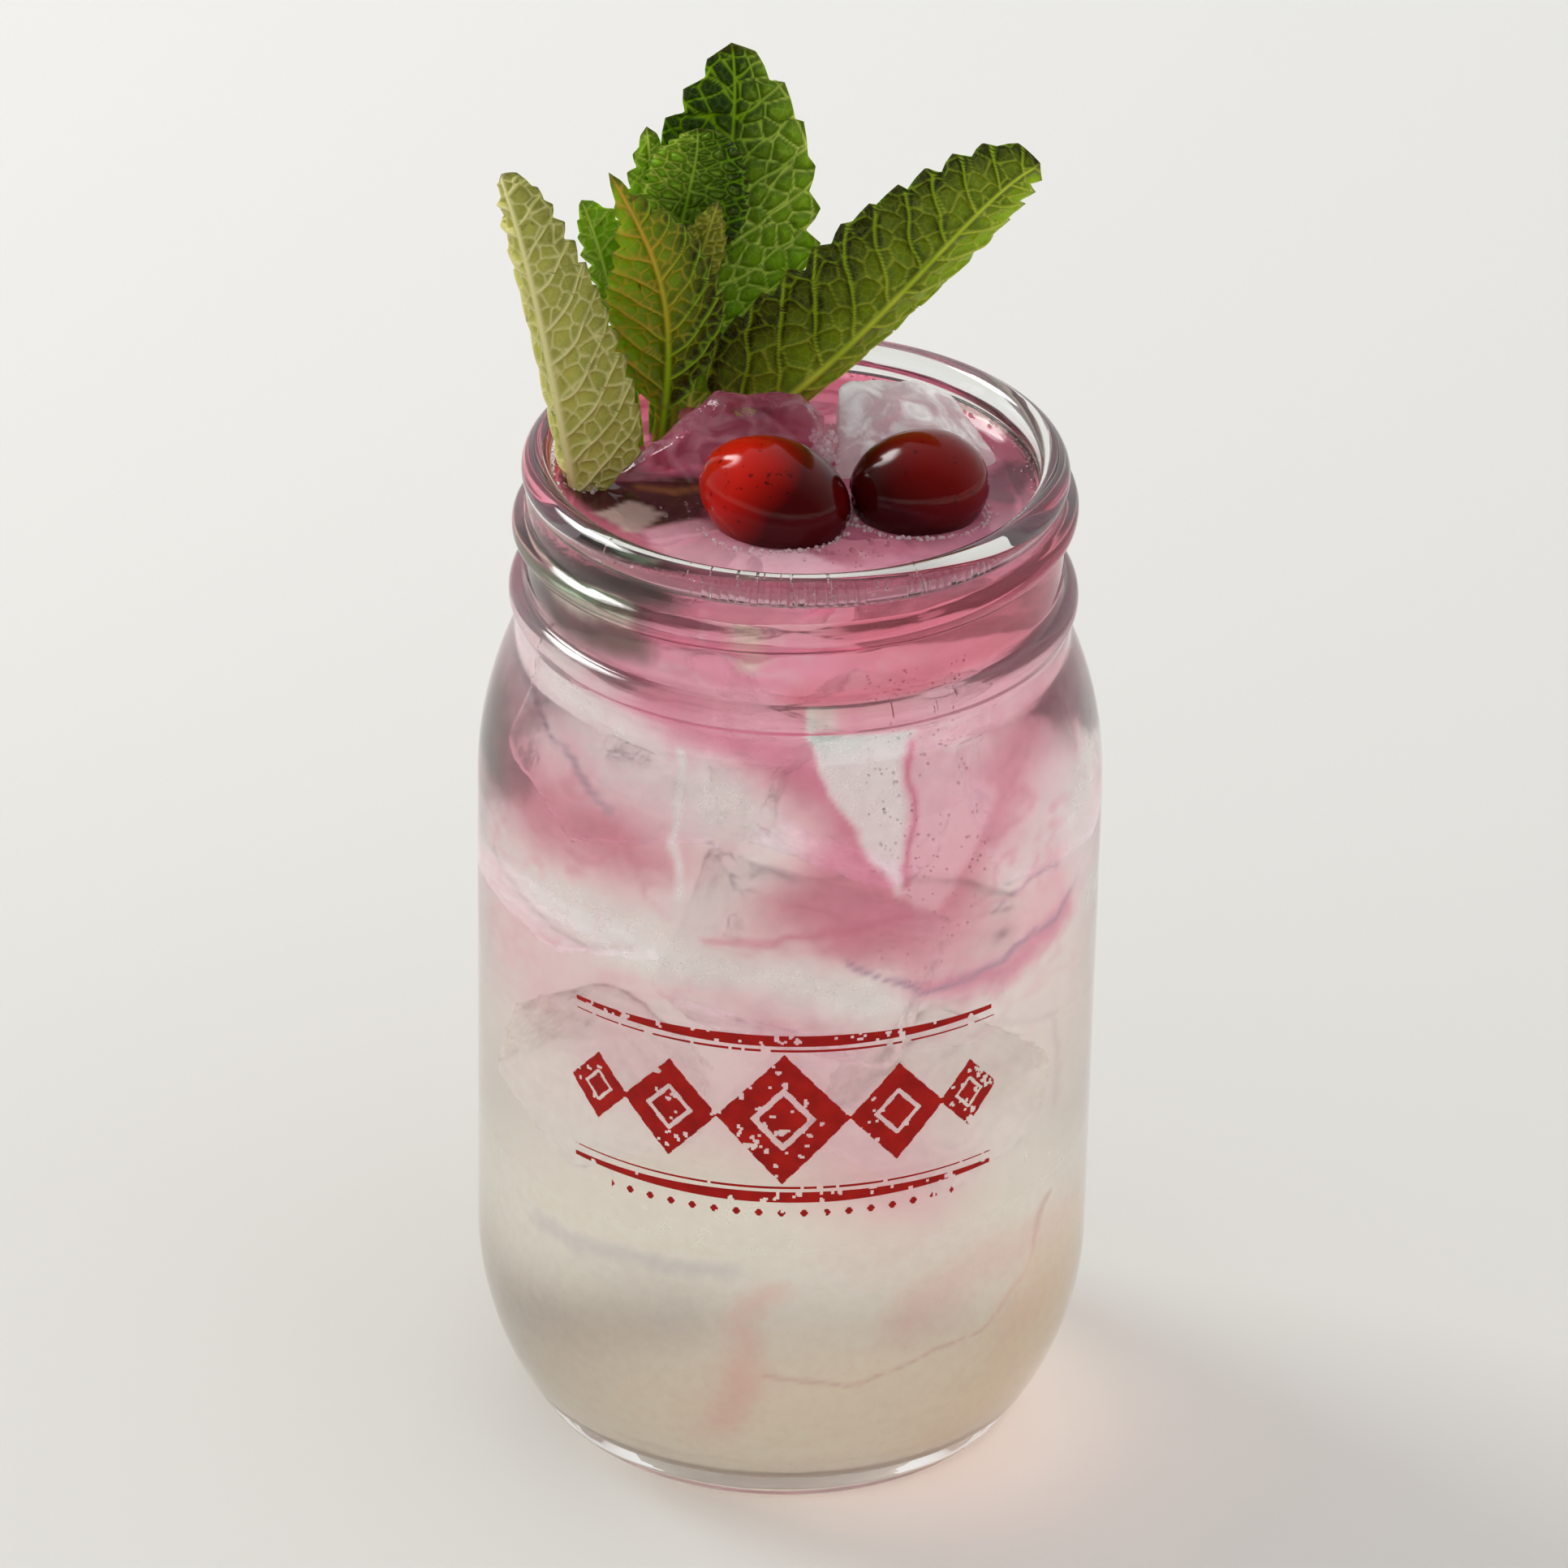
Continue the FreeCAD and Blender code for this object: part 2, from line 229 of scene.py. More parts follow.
def arc(start: tuple[float, float], middle: tuple[float, float], end: tuple[float, float],
        count: int) -> list[tuple[float, float]]:
    """Points along the circular arc through three points, without its last one.

    Args:
        start: first point, as radius and height.
        middle: a point on the arc.
        end: last point.
        count: number of points.

    Returns:
        The points as radius and height.
    """
    (ax, ay), (bx, by), (cx, cy) = start, middle, end
    d = 2 * (ax * (by - cy) + bx * (cy - ay) + cx * (ay - by))
    ux = ((ax * ax + ay * ay) * (by - cy) + (bx * bx + by * by) * (cy - ay)
          + (cx * cx + cy * cy) * (ay - by)) / d
    uy = ((ax * ax + ay * ay) * (cx - bx) + (bx * bx + by * by) * (ax - cx)
          + (cx * cx + cy * cy) * (bx - ax)) / d
    radius = math.hypot(ax - ux, ay - uy)
    first, mid, last = (math.atan2(y - uy, x - ux) for x, y in (start, middle, end))
    sweep = (last - first) % math.tau
    if (mid - first) % math.tau > sweep:
        sweep -= math.tau
    angles = [first + sweep * i / count for i in range(count)]
    return [(ux + radius * math.cos(a), uy + radius * math.sin(a)) for a in angles]


def tangent_middle(start: tuple[float, float], end: tuple[float, float]) -> tuple[float, float]:
    """Middle of the arc from start to end that leaves start straight up or down.

    Args:
        start: point of radius and height with the upright tangent.
        end: the arc's other end, nearer to the axis.

    Returns:
        The point halfway along the arc.
    """
    dr, dz = start[0] - end[0], end[1] - start[1]
    radius = (dr * dr + dz * dz) / (2 * dr)
    half = math.atan2(abs(dz), radius - dr) / 2
    side = 1 if dz > 0 else -1
    return start[0] - radius * (1 - math.cos(half)), start[1] + side * radius * math.sin(half)


def straight(start: tuple[float, float], end: tuple[float, float], count: int,
             ) -> list[tuple[float, float]]:
    """Evenly spaced points from start towards end, without the last one.

    Args:
        start: first point.
        end: end of the run.
        count: number of points.

    Returns:
        The points.
    """
    return [(start[0] + (end[0] - start[0]) * i / count, start[1] + (end[1] - start[1]) * i / count)
            for i in range(count)]


# ---------------------------------------------------------------- finishes


@dataclass(frozen=True)
class PressedSodaGlass:
    """Soda-lime glass, pressed and blown in a mould: clear, faintly green, slightly wavy gloss."""

    ior: float = 1.5
    tint: str = "FCFEFD"
    wave_mm: float = 18.0

    def material(self) -> bpy.types.Material:
        """Clear gloss whose long low waves bend what lies behind, as moulded glass does.

        Returns:
            The glass finish.
        """
        material, tree = new_material("pressed_soda_glass")
        place = add(tree, "ShaderNodeTexCoord").outputs["Object"]
        wave = add(tree, "ShaderNodeTexNoise",
                   {"Vector": place, "Scale": 1 / (self.wave_mm * MM), "Detail": 2.0})
        bump = add(tree, "ShaderNodeBump",
                   {"Height": wave.outputs["Fac"], "Strength": 0.25, "Distance": 0.0005})
        surface = add(tree, "ShaderNodeBsdfPrincipled", {
            "Base Color": srgb(self.tint), "Roughness": 0.0, "IOR": self.ior,
            "Transmission Weight": 1.0, "Normal": bump.outputs["Normal"]})
        clear_to_shadows(tree, surface, srgb("FDFEFE"))
        return material


def clear_to_shadows(tree: bpy.types.NodeTree, surface: bpy.types.Node,
                     tint: tuple[float, float, float, float] | bpy.types.NodeSocket) -> None:
    """Lets lamp light pass straight through a clear surface, so that its shadow is a pale one.

    Args:
        tree: the material's nodes.
        surface: the shader that all other rays see.
        tint: colour of the light let through.
    """
    path = add(tree, "ShaderNodeLightPath")
    clear = add(tree, "ShaderNodeBsdfTransparent", {"Color": tint})
    mix = add(tree, "ShaderNodeMixShader", {
        0: path.outputs["Is Shadow Ray"], 1: surface.outputs[0], 2: clear.outputs[0]})
    add(tree, "ShaderNodeOutputMaterial", {"Surface": mix.outputs[0]})


@dataclass(frozen=True)
class CloudyCordial:
    """Berry cordial poured over a cloudy cream drink with ice: light wanders inside it."""

    silt_mm: float = 1.6
    scatter_mm: float = 6.0
    shade_from_mm: float = 6.0
    shade_to_mm: float = 106.0
    shade: tuple = ((0.0, "E8DEDA"), (0.1, "C0B2AC"), (0.65, "C0B0AC"), (0.9, "846C68"))

    def material(self) -> bpy.types.Material:
        """Painted swirls, with painted shade, a painted highlight and painted refractions among them, under a
        wet gloss, finely mottled, lit softly from within.

        Returns:
            The drink's finish.
        """
        material, tree = new_material("cloudy_cordial")
        place = add(tree, "ShaderNodeTexCoord").outputs["Object"]
        swirls_and_painted_light = add(tree, "ShaderNodeAttribute", attribute_name="swirls_and_painted_light").outputs["Color"]
        silt = add(tree, "ShaderNodeTexNoise",
                   {"Vector": place, "Scale": 1 / (self.silt_mm * MM), "Detail": 4.0, "Roughness": 0.6})
        haze = add(tree, "ShaderNodeMapRange", {
            "Value": silt.outputs["Fac"], "From Min": 0.3, "From Max": 0.7, "To Min": 0.93, "To Max": 1.06})
        mottled = add(tree, "ShaderNodeVectorMath", {0: swirls_and_painted_light, "Scale": haze.outputs[0]}, operation="SCALE")
        # Seen from inside, the far side is a plain blur: its streaks are lost in the cloud.
        far = add(tree, "ShaderNodeNewGeometry").outputs["Backfacing"]
        plain = add(tree, "ShaderNodeAttribute", attribute_name="far_tone").outputs["Color"]
        tone = add(tree, "ShaderNodeMix", {0: far, 6: mottled.outputs[0], 7: plain}, data_type="RGBA")
        body = add(tree, "ShaderNodeAttribute", attribute_name="clearness").outputs["Fac"]
        clearness = add(tree, "ShaderNodeMath", {0: body, 1: far}, operation="MAXIMUM")
        cloud = add(tree, "ShaderNodeAttribute", attribute_name="cloud").outputs["Fac"]
        surface = add(tree, "ShaderNodeBsdfPrincipled", {
            "Base Color": tone.outputs[2], "Roughness": cloud, "IOR": 1.34,
            "Transmission Weight": clearness.outputs[0],
            "Subsurface Weight": 0.8, "Subsurface Radius": (1.0, 0.85, 0.8),
            "Subsurface Scale": self.scatter_mm * MM})
        level = add(tree, "ShaderNodeSeparateXYZ", {"Vector": place}).outputs["Z"]
        above = add(tree, "ShaderNodeMapRange", {
            "Value": level, "From Min": self.shade_from_mm * MM, "From Max": self.shade_to_mm * MM})
        # The shadow is pale near the foot and deeper where the cordial is strong.
        cast = ramp(tree, above.outputs[0], self.shade)
        clear_to_shadows(tree, surface, cast)
        return material


@dataclass(frozen=True)
class MeltingIce:
    """Wet ice: clear water ice with cloudy cracks, tinted by the drink around it."""

    name: str
    tint: str
    clear: float
    milky: float
    ior: float = 1.31
    cloud_mm: float = 5.0
    ripple_mm: float = 1.111

    def material(self) -> bpy.types.Material:
        """Clear gloss with milky cracks and a melted, softly rippled skin.

        Returns:
            The ice finish.
        """
        material, tree = new_material(self.name)
        place = add(tree, "ShaderNodeTexCoord").outputs["Object"]
        cloud = add(tree, "ShaderNodeTexNoise",
                    {"Vector": place, "Scale": 1 / (self.cloud_mm * MM), "Detail": 6.0, "Distortion": 1.2})
        milky = add(tree, "ShaderNodeMapRange", {
            "Value": cloud.outputs["Fac"], "From Min": 0.45, "From Max": 0.7,
            "To Min": self.clear, "To Max": self.milky})
        ripple = add(tree, "ShaderNodeTexNoise", {
            "Vector": place, "Scale": 1 / (self.ripple_mm * MM), "Detail": 3.0})
        bump = add(tree, "ShaderNodeBump",
                   {"Height": ripple.outputs["Fac"], "Strength": 0.35, "Distance": 0.0004})
        surface = add(tree, "ShaderNodeBsdfPrincipled", {
            "Base Color": srgb(self.tint), "Roughness": 0.03, "IOR": self.ior,
            "Transmission Weight": milky.outputs[0], "Normal": bump.outputs["Normal"]})
        clear_to_shadows(tree, surface, srgb("F4E2EA"))
        return material


@dataclass(frozen=True)
class CranberrySkin:
    """Fresh cranberry: thin waxy skin over pale flesh, with dark pores."""

    name: str
    bright: str
    deep: str
    lit_side: tuple[float, float, float]
    centre: Vector
    cheek_mm: float = 11.11
    wax_mm: float = 3.846
    pore_mm: float = 1.0

    def material(self) -> bpy.types.Material:
        """Deep red with painted light and shade across it, under a waxy gloss, uneven from cheek to cheek and
        finely speckled.

        Returns:
            The berry's finish.
        """
        material, tree = new_material(self.name)
        place = add(tree, "ShaderNodeTexCoord").outputs["Object"]
        cheek = add(tree, "ShaderNodeTexNoise", {
            "Vector": place, "Scale": 1 / (self.cheek_mm * MM), "Detail": 2.0})
        # Painted light and shade: the skin is painted brighter towards the lit side and darker on the far
        # side.
        inward = add(tree, "ShaderNodeVectorMath", {0: place, 1: self.centre}, operation="SUBTRACT")
        toward = add(tree, "ShaderNodeVectorMath", {
            0: inward.outputs[0], 1: Vector(self.lit_side).normalized()}, operation="DOT_PRODUCT")
        painted_lighting = add(tree, "ShaderNodeMapRange", {
            "Value": toward.outputs["Value"], "From Min": 0.0, "From Max": 0.0085})
        mixed = add(tree, "ShaderNodeMath", {0: cheek.outputs["Fac"], 1: 0.5, 2: painted_lighting.outputs[0]},
                    operation="MULTIPLY_ADD")
        skin = ramp(tree, mixed.outputs[0], [(0.3, self.deep), (1.0, self.bright)])
        pores = add(tree, "ShaderNodeTexNoise", {
            "Vector": place, "Scale": 1 / (self.pore_mm * MM), "Detail": 2.0})
        speck = add(tree, "ShaderNodeMapRange", {
            "Value": pores.outputs["Fac"], "From Min": 0.64, "From Max": 0.72, "To Max": 0.75})
        colour = add(tree, "ShaderNodeMix", {0: speck.outputs[0], 6: skin, 7: srgb("3A0508")},
                     data_type="RGBA")
        wax = add(tree, "ShaderNodeTexNoise", {
            "Vector": place, "Scale": 1 / (self.wax_mm * MM), "Detail": 4.0})
        rough = add(tree, "ShaderNodeMapRange", {
            "Value": wax.outputs["Fac"], "To Min": 0.06, "To Max": 0.20})
        surface = add(tree, "ShaderNodeBsdfPrincipled", {
            "Base Color": colour.outputs[2], "Roughness": rough.outputs[0], "IOR": 1.42,
            "Specular IOR Level": 0.35, "Subsurface Weight": 0.2,
            "Subsurface Radius": (1.0, 0.12, 0.08), "Subsurface Scale": 0.0012})
        add(tree, "ShaderNodeOutputMaterial", {"Surface": surface.outputs[0]})
        return material


@dataclass(frozen=True)
class ScreenedEnamel:
    """Ceramic enamel, screen printed and fired on the glass: opaque, satin, thin."""

    tint: str = "B41A12"
    thick: str = "96120E"
    uneven_mm: float = 2.381

    def material(self) -> bpy.types.Material:
        """Deep red, slightly uneven in depth, with the faint sheen of fired glass colour.

        Returns:
            The print's finish.
        """
        material, tree = new_material("screened_enamel")
        place = add(tree, "ShaderNodeTexCoord").outputs["Object"]
        uneven = add(tree, "ShaderNodeTexNoise", {
            "Vector": place, "Scale": 1 / (self.uneven_mm * MM), "Detail": 4.0})
        colour = ramp(tree, uneven.outputs["Fac"], [(0.3, self.thick), (0.7, self.tint)])
        surface = add(tree, "ShaderNodeBsdfPrincipled", {
            "Base Color": colour, "Roughness": 0.4, "Specular IOR Level": 0.12})
        add(tree, "ShaderNodeOutputMaterial", {"Surface": surface.outputs[0]})
        return material


@dataclass(frozen=True)
class BubbleFilm:
    """Bubbles of the drink: a clear skin round air, whiter where they are packed into foam."""

    name: str
    tint: str
    clear: float

    def material(self) -> bpy.types.Material:
        """Bright clear gloss with a pink cast.

        Returns:
            The bubbles' finish.
        """
        material, tree = new_material(self.name)
        surface = add(tree, "ShaderNodeBsdfPrincipled", {
            "Base Color": srgb(self.tint), "Roughness": 0.02, "IOR": 1.33,
            "Transmission Weight": self.clear})
        clear_to_shadows(tree, surface, srgb("FFFFFF"))
        return material


@dataclass(frozen=True)
class MintBlade:
    """Fresh mint leaf: thin blade, let through by light, with paler netted veins."""

    name: str
    blade: str
    shaded: str
    vein: str
    margin: str = "3A2410"
    let_through: float = 0.5
    mesh_mm: float = 1.0
    patch_mm: float = 4.167
    spot_mm: float = 1.923
    grain_mm: float = 0.3846

    def material(self) -> bpy.types.Material:
        """Green painted lighter where the blade is lit and darker where it is shaded, with pale veins and
        browned tooth tips.

        Returns:
            The leaf's finish.
        """
        material, tree = new_material(self.name)
        place = add(tree, "ShaderNodeTexCoord").outputs["Object"]
        patches = add(tree, "ShaderNodeTexNoise", {
            "Vector": place, "Scale": 1 / (self.patch_mm * MM), "Detail": 4.0})
        fine = add(tree, "ShaderNodeTexVoronoi", {"Vector": place, "Scale": 1 / (self.mesh_mm * MM)},
                   feature="DISTANCE_TO_EDGE")
        thread = add(tree, "ShaderNodeMapRange", {
            "Value": fine.outputs["Distance"], "From Max": 0.10, "To Min": 0.13, "To Max": 0.0})
        large = add(tree, "ShaderNodeAttribute", attribute_name="vein").outputs["Fac"]
        vein = add(tree, "ShaderNodeMath", {0: large, 1: thread.outputs[0]}, operation="MAXIMUM").outputs[0]
        rim = add(tree, "ShaderNodeAttribute", attribute_name="margin").outputs["Fac"]
        # Painted light and shade: lightens the green and the veins where the leaf is lit and darkens them
        # where it is shaded.
        painted_light = add(tree, "ShaderNodeAttribute", attribute_name="painted_light").outputs["Fac"]
        uneven = add(tree, "ShaderNodeMath", {0: patches.outputs["Fac"], 1: 0.5}, operation="SUBTRACT")
        light = add(tree, "ShaderNodeMath", {0: uneven.outputs[0], 1: 0.5, 2: painted_light}, operation="MULTIPLY_ADD")
        green = ramp(tree, light.outputs[0], [(0.05, self.shaded), (0.95, self.blade)])
        pale = ramp(tree, light.outputs[0], [(0.0, self.blade), (0.45, self.vein)])
        veined = add(tree, "ShaderNodeMix", {0: vein, 6: green, 7: pale}, data_type="RGBA")
        spots = add(tree, "ShaderNodeTexNoise", {
            "Vector": place, "Scale": 1 / (self.spot_mm * MM), "Detail": 2.0})
        bruise = add(tree, "ShaderNodeMapRange", {
            "Value": spots.outputs["Fac"], "From Min": 0.68, "From Max": 0.76, "To Max": 0.55})
        worn = add(tree, "ShaderNodeMath", {0: rim, 1: bruise.outputs[0]}, operation="MAXIMUM")
        browned = add(tree, "ShaderNodeMix", {0: worn.outputs[0], 6: veined.outputs[2], 7: srgb(self.margin)},
                      data_type="RGBA")
        grain = add(tree, "ShaderNodeTexNoise", {
            "Vector": place, "Scale": 1 / (self.grain_mm * MM), "Detail": 3.0})
        bump = add(tree, "ShaderNodeBump",
                   {"Height": grain.outputs["Fac"], "Strength": 0.35, "Distance": 0.00012})
        surface = add(tree, "ShaderNodeBsdfPrincipled", {
            "Base Color": browned.outputs[2], "Roughness": 0.42, "IOR": 1.42, "Specular IOR Level": 0.3,
            "Subsurface Weight": self.let_through, "Subsurface Radius": (0.6, 1.0, 0.15),
            "Subsurface Scale": 0.0010, "Normal": bump.outputs["Normal"]})
        add(tree, "ShaderNodeOutputMaterial", {"Surface": surface.outputs[0]})
        return material


# ---------------------------------------------------------------- jar and drink


@dataclass
class Jar:
    """Screw-top pint jar, turned from its outline, with the helical thread raised on the neck."""

    height: float
    body_radius: float
    heel_top: float = 24.0
    shoulder_start: float = 89.0
    shoulder_end: float = 109.5
    foot_radius: float = 31.6
    foot_round: float = 2.0
    foot_ring_inner: float = 27.0
    foot_hollow: float = 1.6
    neck_radius: float = 34.3
    root_radius: float = 33.2
    lip_radius: float = 33.6
    mouth_radius: float = 30.0
    lip_height: float = 3.4
    ring_z: float = 115.4
    ring_radius: float = 35.2
    ring_half_height: float = 1.9
    thread_lead: float = 6.35
    thread_crest: float = 34.85
    thread_round: float = 1.75
    thread_start_deg: float = 80.0
    thread_turn_deg: float = 400.0
    thread_z_at_180: float = 124.4
    thread_fade_deg: float = 35.0
    wall: float = 3.2
    base_thickness: float = 4.6
    inner_heel_round: float = 9.0
    mouth_draft: float = 0.3
    inner_shoulder_lift: float = 1.5
    lip_inner_round: float = 1.6
    segments: int = 240

    def outer(self) -> list[tuple[float, float]]:
        """Outline of the outside from the axis under the foot to the top of the lip.

        Returns:
            Points of radius and height, in millimetres.
        """
        corner = (self.foot_radius + 0.7, self.foot_round)
        side = (self.body_radius, self.heel_top)
        top_side = (self.body_radius, self.shoulder_start)
        neck = (self.neck_radius + 0.1, self.shoulder_end)
        low, high = self.ring_z - self.ring_half_height, self.ring_z + self.ring_half_height
        lip = self.height - self.lip_height
        above = (self.root_radius + 0.4, high)
        root = (self.root_radius, high + 1.2)
        points = straight((0.01, self.foot_hollow), (self.foot_ring_inner - 2, self.foot_hollow), 6)
        points += straight((self.foot_ring_inner - 2, self.foot_hollow), (self.foot_ring_inner, 0), 3)
        points += straight((self.foot_ring_inner, 0), (self.foot_radius - self.foot_round, 0), 3)
        points += arc((self.foot_radius - self.foot_round, 0), (self.foot_radius - 0.25, 0.75), corner, 8)
        points += arc(corner, tangent_middle(side, corner), side, 22)
        points += straight(side, top_side, 12)
        points += arc(top_side, tangent_middle(top_side, neck), neck, 20)
        points += straight(neck, (self.neck_radius, low), 4)
        points += arc((self.neck_radius, low), (self.ring_radius, self.ring_z), above, 14)
        points += straight(above, root, 3)
        points += straight(root, (self.root_radius, lip), 36)
        points += arc((self.root_radius, lip), (self.lip_radius, lip + self.lip_height * 0.55),
                      (self.lip_radius - 1.6, self.height), 12)
        return points

    def inner(self, top: float) -> list[tuple[float, float]]:
        """Outline of the inside from the axis on the floor up to a height.

        Args:
            top: height at which the outline ends.

        Returns:
            Points of radius and height, in millimetres.
        """
        body = self.body_radius - self.wall
        heel = (body, self.heel_top + 1)
        floor_end = (body - self.inner_heel_round, self.base_thickness)
        high = (body, self.shoulder_start - 2)
        neck_z = self.shoulder_end + self.inner_shoulder_lift
        neck = (self.mouth_at(neck_z), neck_z)
        points = straight((0.01, self.base_thickness), floor_end, 10)
        points += arc(floor_end, tangent_middle(heel, floor_end), heel, 44)
        points += straight(heel, high, 88)
        points += arc(high, tangent_middle(high, neck), neck, 36)
        points += straight(neck, (self.mouth_at(top), top), 28)
        points.append((self.mouth_at(top), top))
        return points

    def mouth_at(self, z: float) -> float:
        """Inner radius of the neck at a height."""
        below = self.shoulder_end + self.inner_shoulder_lift
        return self.mouth_radius - self.mouth_draft * (1 - (z - below) / (self.height - below))

    def thread(self, angle: np.ndarray, z: np.ndarray) -> np.ndarray:
        """Radius of the thread's bead, or 0 where it doesn't pass.

        Args:
            angle: turn about the axis in degrees, from 0 to 360.
            z: heights in millimetres.

        Returns:
            The bead's radius at each place.
        """
        reach = np.zeros(np.broadcast(angle, z).shape)
        for lap in (0.0, 360.0):
            turned = angle + lap - self.thread_start_deg
            inside = (turned >= 0) & (turned <= self.thread_turn_deg)
            from_end = np.minimum(turned, self.thread_turn_deg - turned) / self.thread_fade_deg
            sunk = 1.3 * np.clip(1 - from_end, 0, 1) ** 2
            middle = self.thread_z_at_180 + self.thread_lead * (angle + lap - 180) / 360
            rise = np.sqrt(np.clip(self.thread_round ** 2 - (z - middle) ** 2, 0, None))
            bead = self.thread_crest - self.thread_round - sunk + rise
            reach = np.where(inside & (rise > 0), np.maximum(reach, bead), reach)
        return reach

    def build(self, material: bpy.types.Material) -> bpy.types.Object:
        """Turns the outline and raises the thread on it.

        Args:
            material: the glass finish.

        Returns:
            The jar.
        """
        round_start = self.height - self.lip_inner_round
        over = (self.mouth_radius + self.lip_inner_round, self.height)
        inside = self.inner(round_start)
        thinned = inside[:10:3] + inside[10:-1:4]
        lip = arc(inside[-1], (self.mouth_radius + 0.28 * self.lip_inner_round,
                               self.height - 0.29 * self.lip_inner_round), over, 8)
        outline = self.outer() + [(self.lip_radius - 1.6, self.height)]
        outline += [over] + lip[::-1] + thinned[::-1]
        r, z = np.array(outline).T[:, :, None]
        angle = np.arange(self.segments)[None, :] * 360 / self.segments
        outside = (np.arange(len(outline)) < len(self.outer()))[:, None]
        bead = np.where(outside & (z > 118), self.thread(angle, z), 0)
        blend = 0.22
        radius = np.where(bead > 0, 0.5 * (r + bead + np.sqrt((r - bead) ** 2 + blend ** 2)) - 0.02, r)
        radius = np.where(bead > r - 1.2, radius, r)
        a = np.radians(angle)
        points = np.stack([radius * np.cos(a), radius * np.sin(a), z + 0 * a], -1).reshape(-1, 3)
        faces = grid_faces(len(outline), self.segments, wrap=True)
        last = (len(outline) - 1) * self.segments
        faces.append(tuple(range(self.segments))[::-1])
        faces.append(tuple(range(last, last + self.segments)))
        return mesh_object("jar_of_pressed_glass", points, faces, material)


@dataclass(frozen=True)
class Wash:
    """Streak or patch of one tone in the drink: cordial and pale ice, and also painted shade, a painted
    highlight and painted refractions of what is seen through it.
    """

    tone: str
    strength: float
    width: float
    line: list
    blur: float = 1.0
    filled: bool = False

    def cover(self, places: np.ndarray) -> np.ndarray:
        """How much of the tone shows at each place.

        Args:
            places: N by 2 places in millimetres, in the wash's view.

        Returns:
            Shares from 0 to the wash's strength.
        """
        corners = [np.array(c, float) for c in self.line]
        off = np.full(len(places), np.inf)
        for a, b in zip(corners, corners[1:] + (corners[:1] if self.filled else [])):
            run = b - a
            along = np.clip((places - a) @ run / (run @ run), 0, 1)
            off = np.minimum(off, np.linalg.norm(places - a - along[:, None] * run, axis=1))
        if self.filled:
            inside = np.zeros(len(places), bool)
            x, y = places.T
            for a, b in zip(corners, corners[1:] + corners[:1]):
                crosses = (a[1] > y) != (b[1] > y)
                rise = b[1] - a[1] if b[1] != a[1] else 1.0
                inside ^= crosses & (x < (b[0] - a[0]) * (y - a[1]) / rise + a[0])
            off = np.where(inside, -off, off)
        return self.strength * (1 - smooth(off, self.width * (1 - self.blur), self.width * (1 + self.blur)))


# Tone of the plain drink against height in millimetres, from the floor of the jar to the level.
SIDE_TONES = [(4.6, "EEDFD0"), (9, "F4E9D6"), (17, "F0E2D0"), (25, "E0D4C8"), (31, "D2CCC6"),
              (38, "D2CAC6"), (47, "DACECA"), (56, "D8C5C0"), (66, "DEC8C6"), (76, "E0C9CB"),
              (86, "E4D0D2"), (96, "E4C6CD"), (108, "E0B9C4"), (114, "D2849A"), (120, "C65E7E"),
              (129, "C4647E")]

